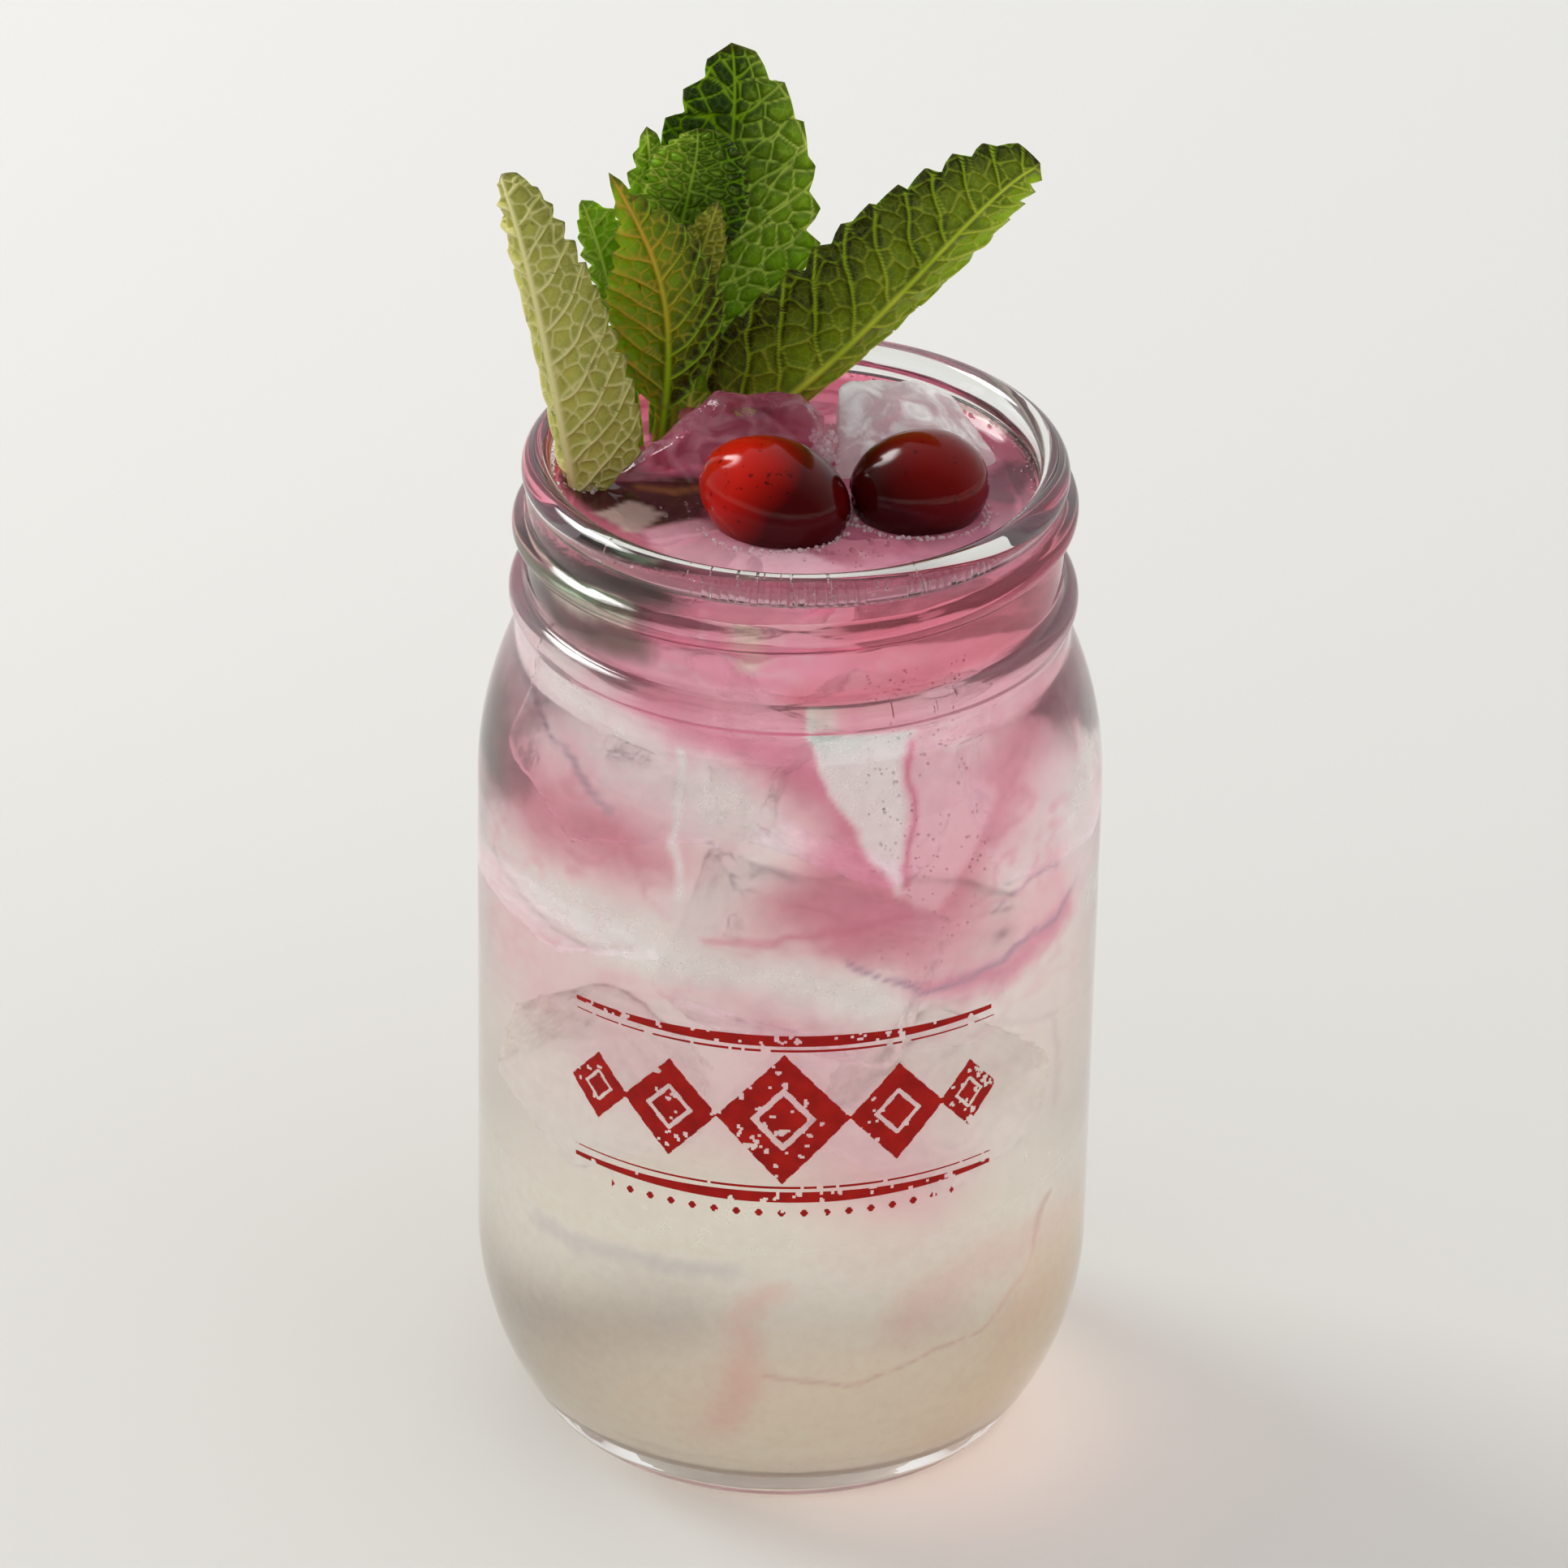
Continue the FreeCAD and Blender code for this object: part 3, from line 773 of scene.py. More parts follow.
# Streaks and patches seen through the front: places are across and up, in millimetres.
SIDE_WASHES = [
    Wash("D698A8", 0.60, 8.0, [(-2, 80), (3, 69), (8, 58), (13, 49)]),
    Wash("DDA9B4", 0.45, 7.0, [(-30, 74), (-18, 68), (-6, 62)]),
    Wash("C8788C", 0.90, 5.0, [(-35, 99), (-30, 94.6), (-17, 96.5), (-8.8, 95.8), (3.5, 93), (16.4, 88)]),
    Wash("C66D87", 0.90, 3.4, [(-25, 116), (-18.8, 114.9), (-11, 112), (0, 108.4), (6.3, 103.6), (13.7, 93)]),
    Wash("CB7B90", 0.85, 5.5, [(2, 97), (10, 92), (15, 88)]),
    Wash("CC7A90", 0.85, 4.5, [(28, 106), (23, 97), (16, 90), (7, 87.5)]),
    Wash("E9D3DA", 0.90, 0.7, [(3.1, 113), (4.8, 104.8), (14, 92.3), (14.5, 101), (13.6, 111)], 0.8, True),
    Wash("DFA8B8", 0.85, 0.9, [(13.8, 110), (23.3, 100), (18.9, 91.5), (16.4, 90), (14.2, 93)], 0.8, True),
    Wash("C76A86", 0.80, 0.5, [(13.7, 110), (14.7, 101), (14.1, 92.6)]),
    Wash("E6CDD4", 0.70, 4.5, [(-26, 110), (-19, 106), (-12, 101)]),
    Wash("EAD9DC", 0.75, 4.0, [(-8, 103), (-2, 99), (-10, 90.5)]),
    Wash("DDA2B1", 0.65, 4.0, [(18, 84), (28, 82), (36, 88)]),
    Wash("CF7F98", 0.85, 1.8, [(14, 78.2), (27, 76.8), (36, 82)]),
    Wash("C76A86", 0.60, 0.5, [(-10, 86), (6, 87.6), (14, 89)]),
    Wash("EEE4E4", 0.80, 3.0, [(-28, 84), (-13, 82), (-1, 81.5), (11, 77)]),
    Wash("A2859A", 0.70, 0.4, [(-31.5, 107), (-27.7, 103.3), (-21, 99.2)]),
    Wash("F2E4E8", 0.70, 0.4, [(-13.1, 108), (-13.5, 102), (-12.4, 90.3)]),
    Wash("A7809A", 0.80, 0.4, [(36, 84), (31, 79.6), (24.5, 78.5), (16, 77.4), (12, 80), (8, 83)]),
    Wash("B08AA0", 0.60, 0.35, [(36, 93), (34.5, 86.3), (29.4, 88.3), (24, 85.5)]),
    Wash("F2E8E8", 0.65, 1.3, [(36, 104), (33.5, 92), (36, 76)]),
    Wash("B5A3A6", 0.60, 0.35, [(-35, 84), (-27, 79.2), (-17, 82.2)]),
    Wash("C2A9AE", 0.45, 0.4, [(16, 66), (25, 70), (32, 66), (33, 52)]),
    Wash("E9DDD8", 0.60, 3.2, [(-10, 46), (2, 44), (12, 42)]),
    Wash("E6DAD2", 0.45, 1.2, [(-31, 39), (-20, 39.4), (-7, 41)]),
    Wash("ABA5B2", 0.32, 1.2, [(-29, 35.7), (-17, 37.4), (-6, 38.5)]),
    # Painted shade low on the left of the drink.
    Wash("AAA29E", 0.40, 6.5, [(-36, 14), (-30, 20), (-22, 24), (-13, 28)]),
    Wash("D39F9B", 0.34, 1.9, [(-6, 15), (-4, 23.8), (-4.6, 31), (-1, 35)]),
    Wash("D39F9B", 0.28, 3.4, [(-8, 14), (-5, 21)]),
    Wash("B89A96", 0.60, 0.35, [(-2, 22.7), (7.8, 21.2), (24.6, 24.2), (29.6, 29.7), (32, 38)]),
    Wash("D2A5A2", 0.40, 3.6, [(17, 30), (24, 34.5), (32.7, 32.4), (31, 24)]),
    Wash("E9D3B8", 0.55, 5.0, [(20, 9), (28, 15), (34, 26)]),
    Wash("B2475F", 0.90, 4.5, [(9, 125.5), (20.6, 124), (32.5, 121)]),
    Wash("B84860", 0.75, 2.6, [(2, 116.5), (14, 117.5), (26, 119)]),
    Wash("C97488", 0.60, 2.0, [(-8, 128), (2, 127)]),
    Wash("B07A7E", 0.75, 1.1, [(-6.5, 124.8), (-4, 123.5), (-5.4, 121.6)]),
    # Painted refraction of the mint: dark patches at the left of the neck.
    Wash("38201C", 0.95, 3.9, [(-36, 124.5), (-31, 124), (-25, 125), (-16.5, 128.6)]),
    Wash("4C2A26", 0.88, 2.7, [(-34, 117.5), (-27, 118.5), (-19, 121)]),
    Wash("D8B4B4", 0.60, 1.2, [(-33, 120.6), (-26, 122.3), (-19, 124.6)]),
    # Painted refraction of the mint's stems: dark, orange and olive streaks down the left of the shoulder.
    Wash("6B4A38", 0.90, 1.5, [(-33.4, 113), (-35.2, 105), (-35.2, 94)]),
    Wash("B8651E", 0.85, 0.9, [(-33.8, 110.5), (-34.8, 106.5)]),
    Wash("CDBE9A", 0.80, 0.9, [(-31.8, 114), (-32.9, 109)]),
]

# Patches on the surface, looking down on it: places are along X and Y, in millimetres.
TOP_WASHES = [
    # Painted refraction of the mint under the surface: a dark patch with a brown streak.
    Wash("2E120A", 0.95, 1.6, [(-28, 1), (-22, -6), (-15, -7), (-11, -2), (-11, 4), (-20, 6)], 0.9, True),
    Wash("8A5A30", 0.70, 0.6, [(-19, 2.5), (-15, 1), (-11.5, 2.5)]),
    Wash("8F3A5C", 0.80, 0.8, [(-24, 4.5), (-18, 5), (-12, 7)]),
    # Painted highlight: a pale glare on the surface.
    Wash("C9B6AC", 0.90, 0.5, [(-24, -5.5), (-20, -2), (-17, -4.5), (-19.5, -9.5)], 0.9, True),
    Wash("F6BCCE", 0.95, 1.0, [(-18, -9.5), (-12, -6.5), (-6, -8), (-1, -13), (5, -18), (-3, -23),
                               (-11, -20)], 0.9, True),
    Wash("6E2440", 0.85, 1.0, [(22, 3), (26, 8), (29, 5), (27, 0)], 0.9, True),
    Wash("ECA2BC", 0.80, 2.4, [(6, -19), (14, -16), (22, -10), (27, -5)]),
]


@dataclass
class Drink:
    """The drink up to its level, reaching just into the glass, with a wetted rim."""

    jar: Jar
    level: float = 127.5
    rise: float = 2.8
    creep: float = 2.2
    into_wall: float = 0.12
    ripple: float = 0.12
    rings: int = 30
    front_columns: int = 264
    back_columns: int = 84
    top_tone: str = "C46A84"
    surface_clearness: float = 0.4
    body_clearness: float = 0.88
    seen_through: tuple = ((0, 0.56), (25, 0.58), (45, 0.70), (105, 0.68), (115, 0.54), (124, 0.38))

    def paint(self, places: np.ndarray) -> tuple[np.ndarray, np.ndarray]:
        """Colour of the drink at each place, strong enough to show in the light that comes through.

        Args:
            places: N by 3 places in millimetres.

        Returns:
            N by 4 linear colours with all streaks, and the same for the plain drink.
        """
        x, y, z = places.T
        drift = np.stack([fractal(places, 11.0, 4, 3.1), fractal(places, 11.0, 4, 9.7)], -1)
        lumps = fractal(places, 16.0, 3, 5.5)
        heights = [h for h, _ in SIDE_TONES]
        tones = np.array([srgb(tone) for _, tone in SIDE_TONES])
        at = z + 2.5 * lumps
        colour = np.stack([np.interp(at, heights, tones[:, i]) for i in range(4)], -1)
        plain = colour.copy()
        ridges = 1 - np.abs(fractal(places * (1, 1, 1.7), 13.0, 3, 1.7)) * 2.2
        veil = 0.42 * smooth(ridges, 0.55, 1.0) * smooth(z, 55, 85)
        colour += veil[:, None] * (np.array(srgb("CC7F95")) - colour)
        front = 1 - smooth(y, -4, 6)
        here = np.stack([x, z], -1) + 1.1 * drift
        behind = np.stack([-x, z - 5], -1) + 2.0 * drift
        for wash in SIDE_WASHES:
            cover = front * wash.cover(here) + (1 - front) * wash.cover(behind)
            colour += cover[:, None] * (np.array(srgb(wash.tone)) - colour)
        backdrop = np.interp(z, *zip(*self.seen_through))[:, None]
        colour, plain = colour / backdrop, plain / backdrop
        colour = plain * (colour / plain) ** 2
        inside = np.hypot(x, y) < self.jar.mouth_radius - 0.5
        surface = smooth(z, self.level - 0.25, self.level - 0.1) * inside
        colour += surface[:, None] * (np.array(srgb(self.top_tone)) * (1 + 0.25 * lumps[:, None]) - colour)
        plan = np.stack([x, y], -1) + 0.8 * drift
        for wash in TOP_WASHES:
            cover = surface * wash.cover(plan)
            colour += cover[:, None] * (np.array(srgb(wash.tone)) - colour)
        colour, plain = (c / np.maximum(c[:, :3].max(axis=1, keepdims=True), 1) for c in (colour, plain))
        colour[:, 3] = plain[:, 3] = 1
        return colour, plain

    def build(self, material: bpy.types.Material) -> bpy.types.Object:
        """Turns the inside of the jar and closes it with the rippled surface.

        Args:
            material: the drink's finish.

        Returns:
            The drink.
        """
        top = self.level + self.rise
        outline = [(r + self.into_wall * min(1.0, r / 5), z - (self.into_wall if z < 8 else 0))
                   for r, z in self.jar.inner(top)]
        edge = outline[-1][0]
        for i in range(1, self.rings):
            r = edge * (1 - (i / self.rings) ** 1.5)
            outline.append((r, self.level + self.rise * math.exp((r - edge) / self.creep)))
        outline.append((0.01, self.level))
        r, z = np.array(outline).T[:, :, None]
        front = np.linspace(180, 360, self.front_columns, endpoint=False)
        back = np.linspace(0, 180, self.back_columns, endpoint=False)
        a = np.radians(np.concatenate([back, front]))[None, :]
        columns = self.front_columns + self.back_columns
        x, y = r * np.cos(a), r * np.sin(a)
        on_top = (np.arange(len(outline)) >= len(outline) - self.rings + 1)[:, None]
        ripple = self.ripple * np.sin(x * 0.55 + 1.3 * np.sin(y * 0.4)) * np.cos(y * 0.47 + 0.8)
        z = z + np.where(on_top, ripple * np.clip((edge - r) / 3, 0, 1), 0)
        points = np.stack([x, y, z + 0 * x], -1).reshape(-1, 3)
        faces = grid_faces(len(outline), columns, wrap=True)
        last = (len(outline) - 1) * columns
        faces.append(tuple(range(columns))[::-1])
        faces.append(tuple(range(last, last + columns)))
        drink = mesh_object("drink_body", points, faces, material)
        for name, tones in zip(("swirls_and_painted_light", "far_tone"), self.paint(points)):
            layer = drink.data.attributes.new(name, "FLOAT_COLOR", "POINT")
            layer.data.foreach_set("color", tones.astype(np.float32).ravel())
        height = points[:, 2]
        on_surface = (height > self.level - 0.3) & (np.hypot(*points[:, :2].T) < edge - 0.6)
        store(drink, "clearness", np.where(on_surface, self.surface_clearness, self.body_clearness))
        store(drink, "cloud", np.where(height > self.level - 0.3, 0.04, 0.42 - 0.30 * smooth(height, 18, 66)))
        return drink


@dataclass
class EnamelPrint:
    """Worn red enamel on the front: five lozenges between thin rules, and a row of dots."""

    radius: float
    middle_z: float = 62.0
    half_width: float = 28.0
    half_height: float = 15.0
    cell: float = 0.2
    thickness: float = 0.04
    lozenges: tuple = ((0.0, 9.4), (14.4, 7.0), (24.4, 4.8))
    rules: tuple = ((11.3, 0.75), (-11.3, 0.75), (9.9, 0.16), (-9.9, 0.16))
    dot_radius: float = 0.5
    dot_pitch: float = 2.8
    dot_row: float = -13.6
    dots_reach: float = 22.5
    wear: float = 0.62

    def distance(self, x: np.ndarray, z: np.ndarray) -> np.ndarray:
        """Distance to the printed shapes, below 0 inside them.

        Args:
            x: places across the front in millimetres, measured round the glass.
            z: places above the print's middle.

        Returns:
            Distances in millimetres.
        """
        ax = np.abs(x)
        far = 9.0
        best = np.full(x.shape, far)
        for centre, reach in self.lozenges:
            off = (np.abs(ax - centre) * 1.12 + np.abs(z) - reach) * 0.67
            ring = np.abs(off + 0.17 * reach) - 0.17 * reach
            best = np.minimum.reduce([best, ring, off + 0.42 * reach])
        for level, half in self.rules:
            rule = np.maximum(np.abs(z - level) - half * np.clip(1.2 - ax / 34, 0.3, 1), ax - self.half_width)
            best = np.minimum(best, rule)
        half_pitch = self.dot_pitch / 2
        dot = np.hypot((ax + half_pitch) % self.dot_pitch - half_pitch, z - self.dot_row) - self.dot_radius
        return np.minimum(best, np.where(ax < self.dots_reach, dot, far))

    def build(self, material: bpy.types.Material) -> bpy.types.Object:
        """Cuts the shapes from a fine grid, leaves out the worn flecks and bends it to the glass.

        Args:
            material: the enamel finish.

        Returns:
            The print.
        """
        xs = np.arange(-self.half_width - 0.5, self.half_width + 0.5, self.cell)
        zs = np.arange(-self.half_height, self.half_height, self.cell)
        x, z = np.meshgrid(xs, zs)
        flat = np.stack([x.ravel(), z.ravel(), 0 * x.ravel()], -1)
        fleck = fractal(flat, 1.1, 3, 2.2).reshape(x.shape)
        rubbed = fractal(flat, 9.0, 2, 7.7).reshape(x.shape)
        worn = self.wear - 0.42 * rubbed - fleck
        for _ in range(2):
            off = self.distance(x, z)
            gx = (self.distance(x + 0.01, z) - off) / 0.01
            gz = (self.distance(x, z + 0.01) - off) / 0.01
            near = np.abs(off) < 0.55 * self.cell
            size = np.maximum(gx ** 2 + gz ** 2, 0.2)
            x, z = x - np.where(near, off * gx / size, 0), z - np.where(near, off * gz / size, 0)
        keep = (self.distance(x, z) < 0.02) & (worn > 0)
        cells = keep[:-1, :-1] & keep[1:, :-1] & keep[:-1, 1:] & keep[1:, 1:]
        columns = x.shape[1]
        rows_of, columns_of = np.nonzero(cells)
        a = rows_of * columns + columns_of
        quads = np.stack([a, a + 1, a + columns + 1, a + columns], -1)
        used, index = np.unique(quads, return_inverse=True)
        index = index.reshape(quads.shape)
        angle = x.ravel()[used] / self.radius - math.pi / 2
        height = z.ravel()[used] + self.middle_z
        layers = [np.stack([r * np.cos(angle), r * np.sin(angle), height], -1)
                  for r in (self.radius + self.thickness, self.radius)]
        count = len(used)
        tiles = index.tolist()
        faces = [tuple(q) for q in tiles] + [tuple(c + count for c in q[::-1]) for q in tiles]
        edges = {}
        for q in tiles:
            for i, j in zip(q, q[1:] + q[:1]):
                edges[(i, j)] = edges.get((i, j), 0) + 1
        faces += [(j, i, i + count, j + count) for i, j in edges if (j, i) not in edges]
        return mesh_object("enamel_print", np.concatenate(layers), faces, material, smooth=False)


def globes(name: str, centres: np.ndarray, radii: np.ndarray, material: bpy.types.Material,
           tall: float = 1.0, around: int = 8, up: int = 6) -> bpy.types.Object:
    """Many small bubbles as one mesh.

    Args:
        name: the piece's name.
        centres: N by 3 places in millimetres.
        radii: their radii in millimetres.
        material: the finish.
        tall: height of a bubble as a share of its width.
        around: corners in a ring.
        up: rings from pole to pole.

    Returns:
        The bubbles.
    """
    polar = np.linspace(0, math.pi, up + 1)[1:-1]
    turn = np.linspace(0, math.tau, around, endpoint=False)
    ring = np.stack([np.outer(np.sin(polar), np.cos(turn)), np.outer(np.sin(polar), np.sin(turn)),
                     np.outer(np.cos(polar), np.ones(around))], -1).reshape(-1, 3)
    unit = np.concatenate([ring, [[0, 0, 1], [0, 0, -1]]]) * (1, 1, tall)
    size = len(unit)
    one = [f[::-1] for f in grid_faces(up - 1, around, wrap=True)]
    for j in range(around):
        k, foot = (j + 1) % around, (up - 2) * around
        one += [(j, k, size - 2), (foot + k, foot + j, size - 1)]
    points = (centres[:, None, :] + radii[:, None, None] * unit).reshape(-1, 3)
    faces = [tuple(c + i * size for c in f) for i in range(len(centres)) for f in one]
    return mesh_object(name, points, faces, material)


@dataclass
class Froth:
    """Bubbles at the drink's level, on the glass, on the ice and round whatever floats."""

    jar: Jar
    level: float = 127.5
    seed: int = 7
    # Stretches of the front, in millimetres round the glass, with the pitch of their bubbles.
    collar_runs: tuple = ((-10.5, 8.5, 1.15), (14.0, 26.0, 1.0))
    drop_band: tuple[float, float] = (130.6, 133.2)
    fizz_turns: tuple[float, float] = (286, 312)
    fizz_foot: float = 78
    fizz_height: float = 42

    def surface(self, off: np.ndarray) -> np.ndarray:
        """Height of the drink at distances from the glass, where it climbs the wall."""
        return self.level + Drink.rise * np.exp(-off / Drink.creep)

    def collar(self, rng: np.random.Generator) -> tuple[np.ndarray, np.ndarray]:
        """Upright bubbles in a row against the front of the glass.

        Args:
            rng: source of the unevenness.

        Returns:
            Places and radii in millimetres.
        """
        across = np.concatenate([np.arange(*run) for run in self.collar_runs])
        across = across + rng.uniform(-0.2, 0.2, len(across))
        radii = rng.uniform(0.42, 0.68, len(across))
        reach = self.jar.mouth_at(self.level) - radii * 0.9
        angle = across / self.jar.mouth_radius - math.pi / 2
        z = self.surface(radii) + 0.7 + rng.uniform(-0.15, 0.2, len(across))
        return np.stack([reach * np.cos(angle), reach * np.sin(angle), z], -1), radii

    def ring(self, rng: np.random.Generator, count: int) -> tuple[np.ndarray, np.ndarray]:
        """Small bubbles all round at the edge of the drink.

        Args:
            rng: source of the unevenness.
            count: number of bubbles.

        Returns:
            Places and radii in millimetres.
        """
        angle = rng.uniform(0, math.tau, count)
        radii = rng.uniform(0.10, 0.30, count)
        off = radii + rng.exponential(0.6, count)
        reach = self.jar.mouth_at(self.level) - off
        z = self.surface(off) + 0.3 * radii
        return np.stack([reach * np.cos(angle), reach * np.sin(angle), z], -1), radii

    def droplets(self, rng: np.random.Generator, count: int) -> tuple[np.ndarray, np.ndarray]:
        """Fine drops left on the inside of the neck above the drink.

        Args:
            rng: source of the unevenness.
            count: number of drops.

        Returns:
            Places and radii in millimetres.
        """
        angle = np.radians(rng.uniform(150, 300, count))
        z = rng.uniform(*self.drop_band, count)
        radii = rng.uniform(0.08, 0.24, count)
        reach = np.array([self.jar.mouth_at(h) for h in z]) - 0.4 * radii
        return np.stack([reach * np.cos(angle), reach * np.sin(angle), z], -1), radii

    def heap(self, rng: np.random.Generator, count: int, centre: tuple, spread: tuple,
             sizes: tuple) -> tuple[np.ndarray, np.ndarray]:
        """Pile of bubbles round a place.

        Args:
            rng: source of the unevenness.
            count: number of bubbles.
            centre: the pile's middle in millimetres.
            spread: its reach along each axis.
            sizes: smallest and largest radius.

        Returns:
            Places and radii in millimetres.
        """
        radii = sizes[0] + (sizes[1] - sizes[0]) * rng.random(count) ** 2.5
        places = np.array(centre) + np.clip(rng.normal(0, 0.5, (count, 3)), -1, 1) * np.array(spread)
        return places, radii

    def wreath(self, rng: np.random.Generator, count: int, centre: tuple, half: tuple,
               turns: tuple, sizes: tuple) -> tuple[np.ndarray, np.ndarray]:
        """Bubbles along the waterline of a floating berry.

        Args:
            rng: source of the unevenness.
            count: number of bubbles.
            centre: the berry's middle seen from above.
            half: the waterline's half length and half width.
            turns: first and last angle in degrees.
            sizes: smallest and largest radius.

        Returns:
            Places and radii in millimetres.
        """
        angle = np.radians(rng.uniform(*turns, count))
        radii = sizes[0] + (sizes[1] - sizes[0]) * rng.random(count) ** 2
        out = 0.6 * radii + np.abs(rng.normal(0, 0.45, count))
        x = centre[0] + (half[0] + out) * np.cos(angle)
        y = centre[1] + (half[1] + out) * np.sin(angle)
        return np.stack([x, y, self.level + 0.5 * radii + 0.1], -1), radii

    def build(self, clear: bpy.types.Material, foam: bpy.types.Material) -> list[bpy.types.Object]:
        """Makes the collar, the clear bubbles, the foam and the fine beads on the wall.

        Args:
            clear: finish of single bubbles.
            foam: finish of packed bubbles.

        Returns:
            The pieces.
        """
        rng = np.random.default_rng(self.seed)
        collar = globes("bubble_collar", *self.collar(rng), clear, tall=1.7, around=12, up=8)
        loose = [self.ring(rng, 420), self.droplets(rng, 190),
                 self.heap(rng, 36, (7, -14, 127.7), (9, 3.5, 0.15), (0.12, 0.4)),
                 self.heap(rng, 14, (-13, -5, 127.7), (6, 3, 0.15), (0.12, 0.35))]
        beads = globes("bubble_beads", *(np.concatenate(p) for p in zip(*loose)), clear)
        packed = [self.heap(rng, 150, (-26.6, 2.4, 128.2), (2.6, 3.0, 1.5), (0.14, 0.62)),
                  self.wreath(rng, 70, (-2.6, -7.2), (8.6, 6.6), (190, 350), (0.12, 0.38)),
                  self.wreath(rng, 130, (15.1, -3.4), (8.2, 6.3), (190, 395), (0.10, 0.34)),
                  self.heap(rng, 130, (3.4, 7.5, 130.0), (1.8, 3.2, 2.6), (0.15, 0.60)),
                  self.heap(rng, 60, (6.6, -3.4, 127.9), (1.4, 4.0, 0.5), (0.12, 0.45)),
                  self.heap(rng, 26, (13.6, -9.0, 131.6), (0.8, 0.35, 0.8), (0.12, 0.34))]
        froth = globes("foam_patches", *(np.concatenate(p) for p in zip(*packed)), foam)
        fizz = globes("wall_fizz", *self.fizz(rng, 210), clear, around=6, up=4)
        return [collar, beads, froth, fizz]

    def fizz(self, rng: np.random.Generator, count: int) -> tuple[np.ndarray, np.ndarray]:
        """Fine bubbles that cling to the inside of the jar under the drink.

        Args:
            rng: source of the unevenness.
            count: number of bubbles.

        Returns:
            Places and radii in millimetres.
        """
        into_glass = 0.06
        angle = np.radians(rng.uniform(*self.fizz_turns, count))
        z = self.fizz_foot + self.fizz_height * rng.random(count) ** 0.7
        reach = np.array([self.wall_at(h) for h in z]) + into_glass
        places = np.stack([reach * np.cos(angle), reach * np.sin(angle), z], -1)
        return places, rng.uniform(0.09, 0.2, count)

    def wall_at(self, z: float) -> float:
        """Radius of the glass's inner wall at a height."""
        outline = self.jar.inner(self.level)
        return float(np.interp(z, [p[1] for p in outline], [p[0] for p in outline]))


# ---------------------------------------------------------------- berries and ice


@dataclass
class Cranberry:
    """Egg-shaped berry with a stalk dimple and the small star left by the flower."""

    node: str
    axis: tuple[float, float, float]
    length: float
    width: float
    seed: int
    around: int = 96
    along: int = 64
    pit_depth: float = 0.75
    pit_radius: float = 1.1

    def centre(self) -> np.ndarray:
        """Middle of the berry's box in millimetres."""
        low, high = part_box(self.node)
        return np.array((low + high) / 2) / MM

    def build(self, skin: CranberrySkin) -> bpy.types.Object:
        """Turns the berry's side and dents it slightly.

        Args:
            skin: the berry's finish.

        Returns:
            The berry.
        """
        polar = np.linspace(0.001, math.pi - 0.001, self.along)[:, None]
        turn = np.linspace(0, math.tau, self.around, endpoint=False)[None, :]
        radius = self.width / 2 * np.sin(polar) * (1 - 0.035 * np.cos(polar))
        z = -self.length / 2 * np.cos(polar)
        star = 1 + 0.35 * np.cos(4 * turn)
        pit = np.exp(-(radius / (self.pit_radius * star)) ** 2)
        z = z - np.sign(z) * self.pit_depth * pit
        wobble = 1 + 0.008 * np.sin(3 * turn + self.seed) * np.sin(polar) + 0.006 * np.sin(
            5 * polar + 2 * turn + self.seed)
        points = np.stack([radius * wobble * np.cos(turn), radius * wobble * np.sin(turn),
                           z + 0 * turn], -1).reshape(-1, 3)
        spin = np.array(Vector((0, 0, 1)).rotation_difference(Vector(self.axis)).to_matrix())
        points = points @ spin.T + self.centre()
        faces = grid_faces(self.along, self.around, wrap=True)
        faces.append(tuple(range(self.around))[::-1])
        faces.append(tuple(range((self.along - 1) * self.around, self.along * self.around)))
        return mesh_object(self.node + "_skin", points, faces, skin.material())


@dataclass
class IcePiece:
    """Broken ice, melted round: the CAD piece with softened edges and a rippled skin."""

    node: str
    grain: float = 0.55
    seed: int = 1

    def build(self, material: bpy.types.Material) -> bpy.types.Object:
        """Copies the CAD piece, melts its edges and ripples its faces.

        Args:
            material: the ice finish.

        Returns:
            The ice.
        """
        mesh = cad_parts[self.node].data.copy()
        piece = bpy.data.objects.new(self.node + "_melted", mesh)
        bpy.context.scene.collection.objects.link(piece)
        return melt(piece, material, self.grain, self.seed)


